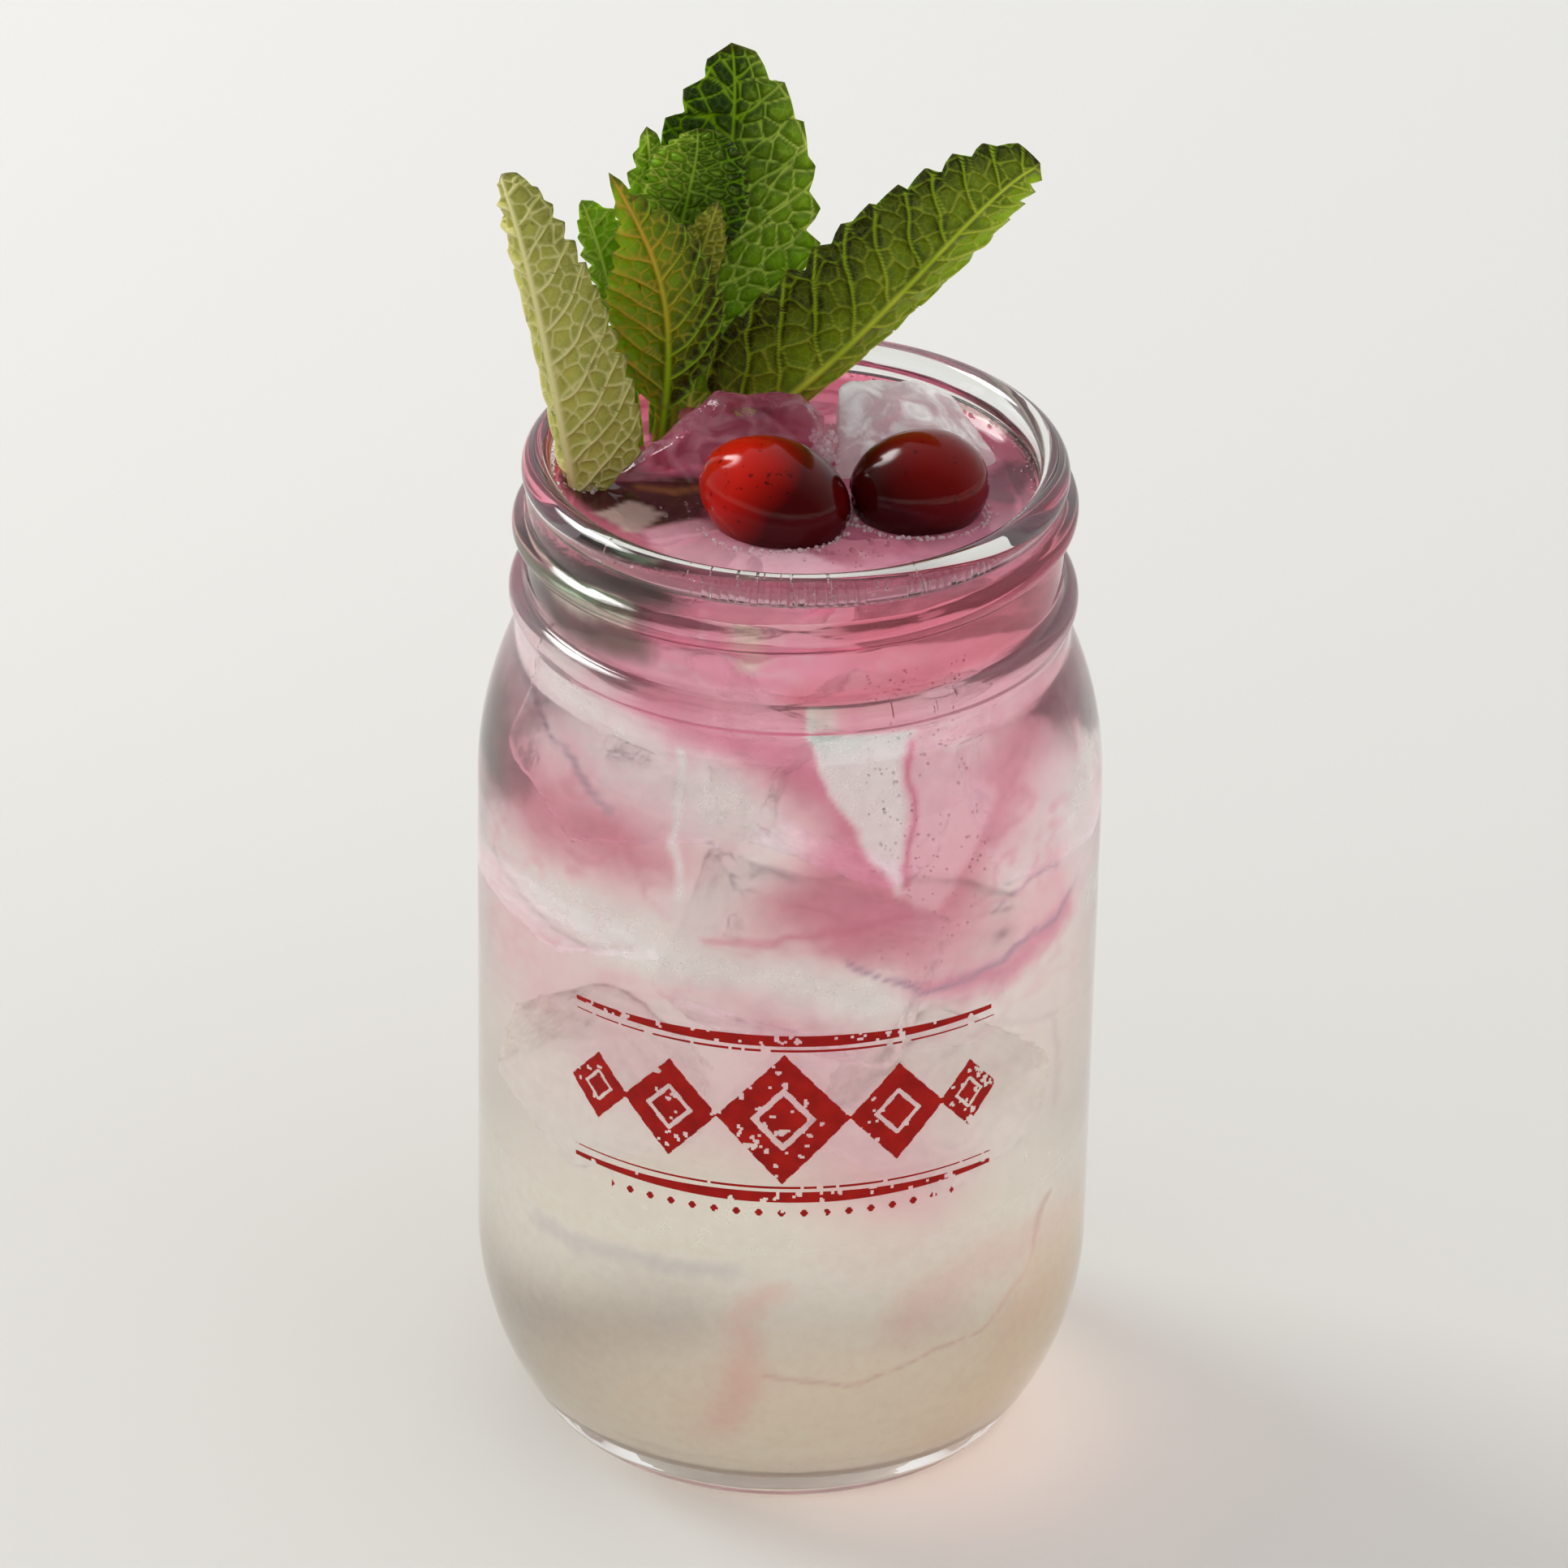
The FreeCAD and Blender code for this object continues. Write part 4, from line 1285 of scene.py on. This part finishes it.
@dataclass
class SunkenIce:
    """Cubes under the drink's surface, lying over each other against the glass."""

    blocks: tuple = (
        ((-15.0, -9.0, 101.0), (23, 18, 22), (14, 8, 24)), ((8.5, -13.0, 99.0), (17, 15, 24), (-12, 14, -18)),
        ((22.0, 5.0, 92.0), (15, 22, 20), (10, -16, 12)), ((-17.0, 10.0, 76.0), (20, 20, 17), (18, 12, 40)),
        ((2.0, -14.0, 73.0), (25, 16, 19), (-8, 20, 6)), ((-19.0, -10.0, 54.0), (18, 17, 16), (24, -10, 30)),
        ((15.0, -9.0, 51.0), (19, 17, 15), (12, 22, -26)), ((6.0, 13.0, 60.0), (21, 18, 17), (30, 5, 15)),
        ((3.0, 14.0, 103.0), (24, 19, 19), (6, -10, 8)))
    grain: float = 1.1
    chip: float = 0.16

    def build(self, material: bpy.types.Material) -> bpy.types.Object:
        """Stacks the cubes, chips one corner off each and melts them all.

        Args:
            material: the ice finish.

        Returns:
            The sunken ice.
        """
        mesh = bpy.data.meshes.new("ice_sunken")
        heap = bmesh.new()
        for centre, size, turns in self.blocks:
            block = bmesh.new()
            bmesh.ops.create_cube(block, size=MM)
            corner = max(block.verts, key=lambda v: sum(v.co))
            bmesh.ops.bevel(block, geom=[corner], offset=self.chip * MM, affect="VERTICES")
            turn = Euler([math.radians(t) for t in turns]).to_matrix().to_4x4()
            block.transform(Matrix.Translation(Vector(centre) * MM) @ turn @ Matrix.Diagonal((*size, 1)))
            block.to_mesh(mesh)
            block.free()
            heap.from_mesh(mesh)
        heap.to_mesh(mesh)
        heap.free()
        piece = bpy.data.objects.new("ice_sunken", mesh)
        bpy.context.scene.collection.objects.link(piece)
        return melt(piece, material, self.grain, 5)


def melt(piece: bpy.types.Object, material: bpy.types.Material, grain: float, seed: int,
         ) -> bpy.types.Object:
    """Remeshes a block finely, rounds its edges and ripples its skin.

    Args:
        piece: a closed mesh object.
        material: the finish.
        grain: size of the new mesh's cells in millimetres.
        seed: shifts the ripples.

    Returns:
        The same object.
    """
    remesh = piece.modifiers.new("even", "REMESH")
    remesh.mode = "VOXEL"
    remesh.voxel_size = grain * MM
    soften = piece.modifiers.new("melt", "SMOOTH")
    soften.factor = 0.5
    soften.iterations = 6
    depsgraph = bpy.context.evaluated_depsgraph_get()
    mesh = bpy.data.meshes.new_from_object(piece.evaluated_get(depsgraph))
    piece.modifiers.clear()
    piece.data = mesh
    co = np.zeros(len(mesh.vertices) * 3)
    mesh.vertices.foreach_get("co", co)
    co = co.reshape(-1, 3)
    normals = np.zeros(len(mesh.vertices) * 3)
    mesh.vertices.foreach_get("normal", normals)
    p = co / MM
    swell = (np.sin(p[:, 0] * 0.9 + seed) * np.sin(p[:, 1] * 0.8 + 2.1 * seed)
             + 0.6 * np.sin(p[:, 2] * 1.3 + p[:, 0] * 0.7 + seed))
    fine = np.sin(p[:, 0] * 2.6 + p[:, 2] * 1.9) * np.sin(p[:, 1] * 2.9 - p[:, 2] * 1.2 + seed)
    sink, swell_height, fine_height = 0.16, 0.14, 0.07
    shift = swell_height * swell + fine_height * fine - sink
    co += normals.reshape(-1, 3) * (shift * MM)[:, None]
    mesh.vertices.foreach_set("co", co.ravel())
    mesh.update()
    mesh.shade_smooth()
    mesh.materials.clear()
    mesh.materials.append(material)
    return piece


# ---------------------------------------------------------------- mint


class Shown(Enum):
    """Which face of a leaf looks out of the sprig."""

    UPPER = 1
    UNDER = -1


@dataclass
class MintLeaf:
    """One mint leaf: folded along its midrib, puckered between netted veins, toothed round."""

    node: str
    rib: list
    face_foot: tuple[float, float, float]
    face_tip: tuple[float, float, float]
    left: float
    right: float
    fold_left: tuple[float, float]
    fold_right: tuple[float, float]
    widest: float
    blunt: float
    stalk: float
    teeth: int
    depth: float
    wave: float
    turn: float
    shown: Shown
    finish: MintBlade
    # Painted light and shade over the blade: a base share, a change along the midrib and a change across it.
    painted_light: tuple[float, float, float] = (0.5, 0.0, 0.0)
    rows: int = 210
    columns: int = 93
    pucker: float = 0.5
    net: float = 0.65
    cell: float = 2.6
    vein_width: float = 0.17
    thickness: float = 0.34
    stalk_half: float = 0.8
    rib_bend: float = 1.6
    fold_steps: int = 16
    margin_waves: float = 2.2

    def frames(self, u: np.ndarray) -> tuple[np.ndarray, np.ndarray, np.ndarray]:
        """Points of the midrib with the directions to the right and out of the face.

        Args:
            u: shares of the midrib's length.

        Returns:
            Points, directions to the right and directions out.
        """
        p = np.array(self.rib, float)
        u = u[..., None]
        w = 1 - u
        point = w ** 3 * p[0] + 3 * w * w * u * p[1] + 3 * w * u * u * p[2] + u ** 3 * p[3]
        along = w * w * (p[1] - p[0]) + 2 * w * u * (p[2] - p[1]) + u * u * (p[3] - p[2])
        along /= np.linalg.norm(along, axis=-1, keepdims=True)
        face = w * np.array(self.face_foot, float) + u * np.array(self.face_tip, float)
        right = np.cross(along, face)
        right /= np.linalg.norm(right, axis=-1, keepdims=True)
        return point, right, np.cross(right, along)

    def outline(self, u: float, half: float) -> float:
        """Half width of the blade without its teeth.

        Args:
            u: share of the midrib's length.
            half: widest half width in millimetres.

        Returns:
            The half width in millimetres.
        """
        share = min(max((u - self.stalk) / (1 - self.stalk), 0.0), 1.0)
        width = half * max(math.sin(math.pi * share ** self.widest), 0.0) ** self.blunt
        return max(width, self.stalk_half if u < 0.5 else 0.0)

    def uneven(self, tooth: int, sign: int) -> float:
        """A number from -1 to 1 that differs from tooth to tooth."""
        return math.sin(5.1 * tooth + self.turn + sign)

    def toothed(self, u: np.ndarray, half: float, sign: int) -> tuple[np.ndarray, np.ndarray]:
        """Half width with teeth, and how near each place is to a tooth's tip.

        Args:
            u: shares of the midrib's length.
            half: widest half width.
            sign: 1 for the right half, -1 for the left.

        Returns:
            Half widths, and 1 at each tooth's tip falling to 0 at its notch.
        """
        start, end = self.stalk + 0.02, 0.985
        places, widths, tips = [0.0], [self.stalk_half], [0.0]
        for i in range(self.teeth):
            notch_at = i + (0.12 * self.uneven(i, sign) if i else 0)
            tip_at = i + 0.80 + 0.08 * self.uneven(i + 3, sign)
            notch, tip = (start + (end - start) * at / self.teeth for at in (notch_at, tip_at))
            low = self.outline(notch, half)
            depth = self.depth * (0.8 + 0.4 * self.uneven(i + 1, sign)) * min(1.0, low / 3)
            low, high = max(low - depth, 0.5), self.outline(tip, half)
            places += [notch, (notch + tip) / 2, tip]
            widths += [low, (low + high) / 2 + 0.1 * depth, high]
            tips += [0.0, 0.25, 1.0]
        places.append(1.0)
        return np.interp(u, places, widths + [0.02]), np.interp(u, places, tips + [1.0])

    def surface(self, u: np.ndarray, s: np.ndarray) -> np.ndarray:
        """Places of the unpuckered blade.

        Args:
            u: shares of the midrib's length.
            s: distances from the midrib in millimetres, positive to the right.

        Returns:
            The places in millimetres.
        """
        point, right, out = self.frames(u)
        sign = np.where(s >= 0, 1.0, -1.0)
        pair = np.where((s >= 0)[..., None], self.fold_right, self.fold_left)
        fold = np.radians(pair[..., 0] * (1 - u) + pair[..., 1] * u)
        side, back = np.zeros_like(s), np.zeros_like(s)
        step = np.abs(s) / self.fold_steps
        for i in range(self.fold_steps):
            angle = fold * (1 - np.exp(-(i + 0.5) * step / self.rib_bend))
            side += step * np.cos(angle)
            back += step * np.sin(angle)
        wave = self.wave * np.sin(math.tau * self.margin_waves * u + self.turn + sign)
        back += wave * (s / max(self.left, self.right)) ** 2
        return point + right * (sign * side)[..., None] - out * back[..., None]

    def veins(self, x: np.ndarray, y: np.ndarray, length: float) -> tuple[np.ndarray, np.ndarray]:
        """Pattern of the midrib, side veins and the net between them.

        Args:
            x: distances from the midrib in millimetres.
            y: distances along it.
            length: the midrib's length.

        Returns:
            Vein strength from 0 to 1, and height of the pucker from 0 to 1.
        """
        rng = np.random.default_rng(int(self.turn * 100))
        ax = np.abs(x)
        flat = np.stack([x.ravel(), y.ravel(), 0 * x.ravel()], -1)
        sway = fractal(flat, 6.0, 2, self.turn).reshape(x.shape)
        lean = y - 0.72 * ax - 0.022 * ax * ax + 0.9 * sway
        spacing = 2.1 * self.cell
        q = lean / spacing + np.where(x > 0, 0.0, 0.42)
        side = np.abs(q - np.round(q)) * spacing / 1.25
        step = self.cell
        gx, gy = np.meshgrid(np.arange(-16, 16, step), np.arange(-4, length + 4, step))
        gx = gx + (np.arange(len(gy)) % 2)[:, None] * step / 2
        seeds = np.stack([gx.ravel(), gy.ravel()], -1)
        seeds += rng.uniform(-0.4, 0.4, seeds.shape) * step
        near = np.full(len(flat), 1e9)
        second = near.copy()
        wobble = flat[:, :2] + 0.35 * np.stack([sway.ravel(), -sway.ravel()], -1)
        for seed in seeds:
            d = np.hypot(wobble[:, 0] - seed[0], wobble[:, 1] - seed[1])
            second = np.minimum(second, np.maximum(near, d))
            near = np.minimum(near, d)
        net = ((second - near) / 2).reshape(x.shape)
        width = self.vein_width
        rib = width * (3.0 - 2.0 * y / length)
        strength = np.maximum.reduce([
            np.exp(-(ax / rib) ** 2),
            0.9 * np.exp(-(side / (1.25 * width)) ** 2),
            self.net * np.exp(-(net / (0.8 * width)) ** 2)])
        gap = np.minimum.reduce([np.maximum(ax - rib / 2, 0), side, net + 1.2 * (1 - self.net)])
        return strength, 1 - np.exp(-(gap / (0.27 * self.cell)) ** 2)

    def build(self) -> bpy.types.Object:
        """Makes the closed, puckered blade with its veins as attributes.

        Returns:
            The leaf.
        """
        u = np.linspace(0, 1, self.rows)[:, None] * np.ones((1, self.columns))
        t = np.linspace(-1, 1, self.columns)[None, :] * np.ones((self.rows, 1))
        left, tip_left = self.toothed(u, self.left, -1)
        right, tip_right = self.toothed(u, self.right, 1)
        width = np.where(t >= 0, right, left)
        tooth = np.where(t >= 0, tip_right, tip_left)
        s = width * t
        spine = self.frames(np.linspace(0, 1, 60))[0]
        length = float(np.linalg.norm(np.diff(spine, axis=0), axis=1).sum())
        base = self.surface(u, s)
        strength, pucker = self.veins(s, u * length, length)
        from_edge = (1 - np.abs(t)) * width
        thin = np.clip(from_edge / 0.5, 0.25, 1)
        calm = np.clip(width / 2.5, 0, 1) * np.clip(from_edge / 1.2, 0.1, 1) * np.clip((1 - u) / 0.03, 0, 1)
        normal = np.cross(np.gradient(base, axis=1), np.gradient(base, axis=0))
        normal /= np.maximum(np.linalg.norm(normal, axis=-1, keepdims=True), 1e-12)
        upper = normal * self.shown.value
        lift = (self.pucker * (pucker - 0.6) * calm)[..., None]
        half = (self.thickness / 2 * thin)[..., None]
        ridge = (0.15 * strength * calm)[..., None]
        top = base + upper * (lift + half - 0.4 * ridge)
        under = base + upper * (lift - half - ridge)
        points = np.concatenate([top.reshape(-1, 3), under.reshape(-1, 3)])
        faces = self.closed_faces()
        leaf = mesh_object(self.node + "_blade", points, faces, self.finish.material())
        margin = np.clip(1 - from_edge / 0.7, 0, 1) * tooth * 0.9
        margin = np.maximum(margin, np.clip((u - 0.96) / 0.04, 0, 1) * 0.9)
        # Painted light and shade over the blade, with painted shade in the creases beside the veins and
        # lighter cell middles.
        painted_light = self.painted_light[0] + self.painted_light[1] * u + self.painted_light[2] * t
        for name, values in (("vein", strength), ("margin", margin), ("painted_light", painted_light + 0.35 * (pucker - 0.6))):
            store(leaf, name, np.tile(values.ravel(), 2))
        return leaf

    def closed_faces(self) -> list:
        """Faces of the upper side, the underside and the rim between them.

        Returns:
            Vertex indices of each face.
        """
        count = self.rows * self.columns
        up = self.shown is Shown.UPPER
        faces = [f if up else f[::-1] for f in grid_faces(self.rows, self.columns)]
        faces += [f[::-1] if up else f for f in grid_faces(self.rows, self.columns, count)]
        rim = [(0, j) for j in range(self.columns)]
        rim += [(i, self.columns - 1) for i in range(1, self.rows)]
        rim += [(self.rows - 1, j) for j in range(self.columns - 2, -1, -1)]
        rim += [(i, 0) for i in range(self.rows - 2, 0, -1)]
        ids = [i * self.columns + j for i, j in rim]
        for a, b in zip(ids, ids[1:] + ids[:1]):
            wall = (a, a + count, b + count, b)
            faces.append(wall if up else wall[::-1])
        return faces


PALE_UNDER = MintBlade("mint_pale_under", "C0BE5A", "5A560E", "E6DEA0", let_through=0.25)
WARM_UNDER = MintBlade("mint_warm_under", "8CB20C", "342602", "CC9C30", let_through=0.35)
FRESH = MintBlade("mint_fresh", "94C018", "4C660A", "C4D85C")
DEEP = MintBlade("mint_deep", "80B40C", "1E2C02", "DCEC64", let_through=0.25)
LIT = MintBlade("mint_lit", "94BC12", "223603", "ECF47C", let_through=0.3)
LONG = MintBlade("mint_long", "A8C612", "242402", "E6E458", let_through=0.35)
OLIVE = MintBlade("mint_olive", "7C8A16", "3C4008", "BEB648", let_through=0.3)

# The tuple after each leaf's finish sets its painted light and shade.
LEAVES = [
    MintLeaf("mint_left",
             [(-26.6, 1.0, 125.0), (-28.0, 0.5, 134.0), (-32.3, -4.5, 163.8), (-36.3, 5.0, 168.5)],
             (-0.3, -1, 0.1), (-0.3, -1, 0.1), 8.5, 9.8, (98, 62), (25, 52),
             0.42, 0.50, 0.11, 14, 1.1, 0.5, 1.1, Shown.UNDER, PALE_UNDER, (0.85, -0.15, -0.4),
             cell=2.0, pucker=0.9, vein_width=0.16, net=0.65),
    MintLeaf("mint_front",
             [(-17.3, 10.8, 125.0), (-15.5, 6.5, 145.0), (-14.0, 6.0, 153.0), (-23.4, 7.0, 168.0)],
             (0, -1, 0.1), (0, -1, 0.1), 8.2, 8.7, (10, 20), (40, 42),
             0.72, 1.0, 0.17, 12, 1.2, 0.4, 2.3, Shown.UNDER, WARM_UNDER, (0.0, 0.8, -0.55),
             rows=180, columns=77, cell=2.0, pucker=0.9, vein_width=0.16, net=0.55),
    MintLeaf("mint_small_left",
             [(-19.5, 13.0, 125.0), (-20.5, 11.5, 140.0), (-24.0, 11.0, 156.0), (-26.8, 10.5, 162.5)],
             (0, -1, 0.1), (0, -1, 0.1), 2.7, 5.5, (20, 15), (20, 15),
             0.85, 0.75, 0.42, 7, 1.2, 0.2, 0.4, Shown.UNDER, FRESH, (0.2, 0.4, 0.0),
             rows=130, columns=57, cell=1.7, pucker=0.3, vein_width=0.13),
    MintLeaf("mint_small_front",
             [(-15.5, 12.8, 125.0), (-15.3, 13.2, 144.0), (-12.5, 12.4, 153.6), (-10.1, 12.4, 161.8)],
             (0, -1, 0.1), (0, -1, 0.1), 3.2, 3.2, (25, 25), (35, 30),
             0.90, 0.80, 0.45, 7, 0.7, 0.1, 3.0, Shown.UNDER, OLIVE, (0.3, 0.2, 0.0),
             rows=110, columns=47, cell=1.4, pucker=0.25, vein_width=0.13),
    MintLeaf("mint_centre",
             [(-17.5, 16.2, 125.0), (-17.8, 15.8, 152.0), (-12.0, 15.2, 163.5), (-12.9, 19.2, 168.3)],
             (0, -1, 0.2), (0, -0.9, 0.5), 6.2, 7.7, (-12, -5), (-12, -5),
             0.85, 0.48, 0.35, 12, 0.9, 0.2, 4.2, Shown.UPPER, DEEP, (0.2, 0.2, -0.35),
             rows=180, columns=77, cell=2.0, pucker=1.2, vein_width=0.13, net=0.9),
    MintLeaf("mint_centre_behind",
             [(-15.5, 19.0, 125.0), (-18.9, 19.4, 142.5), (-17.8, 19.3, 157.5), (-19.1, 19.0, 168.5)],
             (0, -1, 0.2), (0, -1, 0.2), 4.2, 6.0, (10, 5), (10, 5),
             0.80, 0.75, 0.30, 9, 1.0, 0.2, 5.5, Shown.UPPER, DEEP, (0.3, 0.3, -0.3),
             rows=140, columns=57, cell=1.9, pucker=0.5, vein_width=0.13),
    MintLeaf("mint_back",
             [(-13.5, 21.8, 124.5), (-14.0, 24.0, 136.5), (-6.4, 25.1, 160.8), (-8.9, 21.8, 178.7)],
             (0.1, -1, 0.3), (0, -1, 0.2), 12.8, 13.0, (-5, 0), (-5, 5),
             0.72, 0.60, 0.13, 10, 1.7, 0.5, 0.9, Shown.UPPER, LIT, (0.8, -0.8, 0.4),
             cell=2.6, pucker=1.0, vein_width=0.14, net=0.9),
    MintLeaf("mint_right",
             [(-10.5, 18.5, 124.5), (9.4, 16.0, 139.5), (20.2, 8.5, 165.0), (28.9, 9.5, 169.2)],
             (0, -1, 0.2), (0, -1, 0.1), 12.3, 8.2, (5, 0), (94, 36),
             0.48, 0.42, 0.05, 12, 1.4, 0.6, 2.0, Shown.UNDER, LONG, (0.38, 0.0, 0.42),
             cell=2.8, pucker=0.7, vein_width=0.15, net=0.5),
]


# ---------------------------------------------------------------- stage


@dataclass
class Studio:
    """Pale floor, soft light and the camera."""

    lens_mm: float = 196.57
    stand_off: float = 0.928
    stand_height: float = 0.623
    pitch_deg: float = 30.01
    roll_deg: float = 1.1
    yaw_deg: float = -0.045
    soft_box: tuple = ((-0.72, 0.38, 0.75), 16.0, 9.0)
    lamps: tuple = (("key", (-0.75, 0.45, 0.95), 0.42, 6.0, "FFFCF7", True),
                    ("fill", (0.9, -0.4, 0.9), 1.0, 1.0, "FFFFFF", False))
    plain_light: float = 0.76

    def camera(self) -> None:
        """Places the camera in front of the jar, looking down on it."""
        yaw, pitch, roll = (math.radians(v) for v in (self.yaw_deg, self.pitch_deg, self.roll_deg))
        ahead = Vector((math.sin(yaw), math.cos(yaw), 0))
        right = Vector((math.cos(yaw), -math.sin(yaw), 0))
        forward = ahead * math.cos(pitch) - Vector((0, 0, math.sin(pitch)))
        up = right.cross(forward)
        side = right * math.cos(roll) + up * math.sin(roll)
        top = up * math.cos(roll) - right * math.sin(roll)
        data = bpy.data.cameras.new("camera")
        data.lens = self.lens_mm
        data.sensor_width = 36.0
        data.clip_end = 20.0
        camera = bpy.data.objects.new("camera", data)
        bpy.context.scene.collection.objects.link(camera)
        turn = Matrix((side, top, -forward)).transposed()
        camera.matrix_world = Matrix.Translation((0, -self.stand_off, self.stand_height)) @ turn.to_4x4()
        bpy.context.scene.camera = camera

    def floor(self) -> None:
        """Lays a wide pale floor, painted darker towards the camera as painted shade."""
        reach = 4000.0
        corners = np.array([(-reach, -reach, 0), (reach, -reach, 0), (reach, reach, 0), (-reach, reach, 0)])
        material, tree = new_material("pale_table")
        place = add(tree, "ShaderNodeTexCoord").outputs["Object"]
        split = add(tree, "ShaderNodeSeparateXYZ", {"Vector": place})
        # Painted shade: the floor is painted darker towards the camera and lighter behind the jar, as the
        # light falls off.
        share = add(tree, "ShaderNodeMapRange", {
            "Value": split.outputs["Y"], "From Min": -0.15, "From Max": 0.45})
        colour = ramp(tree, share.outputs[0], [(0.0, "DDDCD7"), (1.0, "E9E9E7")])
        surface = add(tree, "ShaderNodeBsdfPrincipled", {
            "Base Color": colour, "Roughness": 0.6, "Specular IOR Level": 0.2})
        add(tree, "ShaderNodeOutputMaterial", {"Surface": surface.outputs[0]})
        mesh_object("floor", corners, [(0, 1, 2, 3)], material, smooth=False)

    def lamp(self, name: str, place: tuple[float, float, float], size: float, power: float,
             tint: str, mirrored: bool) -> None:
        """Hangs a square soft lamp aimed at the jar.

        Args:
            name: the lamp's name.
            place: where it hangs, in metres.
            size: width of its panel in metres.
            power: strength in watts.
            tint: sRGB hex colour.
            mirrored: whether glossy surfaces show the lamp.
        """
        data = bpy.data.lights.new(name, "AREA")
        data.size = size
        data.energy = power
        data.color = srgb(tint)[:3]
        made = bpy.data.objects.new(name, data)
        bpy.context.scene.collection.objects.link(made)
        made.location = place
        made.visible_transmission = False
        made.visible_glossy = mirrored
        made.rotation_euler = (Vector((0, 0, 0.1)) - Vector(place)).to_track_quat("-Z", "Y").to_euler()

    def build(self) -> None:
        """Sets up the camera, floor, lamps and world."""
        self.camera()
        self.floor()
        for lamp in self.lamps:
            self.lamp(*lamp)
        self.world()

    def world(self) -> None:
        """Plain light all round, which glossy surfaces see as a dark front, a pale back and a soft box."""
        world = bpy.data.worlds.new("studio")
        world.use_nodes = True
        tree = world.node_tree
        tree.nodes.clear()
        ahead = add(tree, "ShaderNodeTexCoord").outputs["Generated"]
        split = add(tree, "ShaderNodeSeparateXYZ", {"Vector": ahead})
        strength = add(tree, "ShaderNodeMapRange", {
            "Value": split.outputs["Y"], "From Min": -0.6, "From Max": 0.7, "To Min": 0.06, "To Max": 0.9})
        aim, reach, power = self.soft_box
        toward = add(tree, "ShaderNodeVectorMath", {0: ahead, 1: Vector(aim).normalized()},
                     operation="DOT_PRODUCT")
        patch = add(tree, "ShaderNodeMapRange", {
            "Value": toward.outputs["Value"], "From Min": math.cos(math.radians(reach)),
            "From Max": math.cos(math.radians(0.8 * reach)), "To Min": 0.0, "To Max": power})
        strength = add(tree, "ShaderNodeMath", {0: strength.outputs[0], 1: patch.outputs[0]})
        path = add(tree, "ShaderNodeLightPath")
        strength = add(tree, "ShaderNodeMix", {
            0: path.outputs["Is Glossy Ray"], 2: self.plain_light, 3: strength.outputs[0]})
        strength = add(tree, "ShaderNodeMix", {
            0: path.outputs["Is Transmission Ray"], 2: strength.outputs[0], 3: 1.0})
        soft = add(tree, "ShaderNodeBackground", {
            "Color": srgb("FAFAFA"), "Strength": strength.outputs[0]})
        add(tree, "ShaderNodeOutputWorld", {"Surface": soft.outputs[0]})
        bpy.context.scene.world = world
        bpy.context.scene.view_settings.view_transform = "Standard"


def main() -> None:
    """Builds every sub-assembly in order and reports each piece."""
    logging.basicConfig(level=logging.INFO, format="%(message)s")
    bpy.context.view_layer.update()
    Studio().build()
    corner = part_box("glass_jar")[1]
    # The glass stands back by this much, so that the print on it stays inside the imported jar.
    print_room = 0.08
    jar = Jar(height=corner.z / MM, body_radius=corner.x / MM - print_room, wall=Jar.wall - print_room)
    finish_piece(jar.build(PressedSodaGlass().material()), "jar_glass", "glass_jar")
    finish_piece(Drink(jar).build(CloudyCordial().material()), "drink", "drink")
    enamel = EnamelPrint(jar.body_radius + 0.01)
    finish_piece(enamel.build(ScreenedEnamel().material()), "jar_glass")
    clear, foam = BubbleFilm("bubble_film", "FBF0F3", 1.0), BubbleFilm("foam_film", "F6E6EA", 0.7)
    for piece in Froth(jar).build(clear.material(), foam.material()):
        finish_piece(piece, "drink")
    finishes = {"ice_left": MeltingIce("ice_clear", "F2CBD8", 1.0, 0.75),
                "ice_right": MeltingIce("ice_milky", "FFFEFE", 0.65, 0.08)}
    for seed, (node, finish) in enumerate(finishes.items()):
        finish_piece(IcePiece(node, seed=seed + 1).build(finish.material()), "ice", node)
    # In the drink ice bends light far less than in air.
    sunken = MeltingIce("ice_sunken", "FFFDFD", 1.0, 0.85, ior=1.06)
    finish_piece(SunkenIce().build(sunken.material()), "ice")
    # Each berry with its skin colours and the side towards which its skin is painted brighter, as painted
    # light.
    berries = [
        (Cranberry("cranberry_left", (0.923, -0.192, -0.333), 19.2, 14.7, 2),
         ("cranberry_bright", "C81C0E", "460506", (-0.85, -0.1, 0.5))),
        (Cranberry("cranberry_right", (0.98, 0.1, 0.12), 17.3, 14.1, 5),
         ("cranberry_dark", "700C08", "360405", (0.5, -0.2, 0.8))),
    ]
    for berry, (name, bright, deep, lit_side) in berries:
        skin = CranberrySkin(name, bright, deep, lit_side, Vector(berry.centre()) * MM)
        finish_piece(berry.build(skin), "cranberry", berry.node)
    for leaf in LEAVES:
        finish_piece(leaf.build(), "mint", leaf.node)


if __name__ == "__main__":
    main()
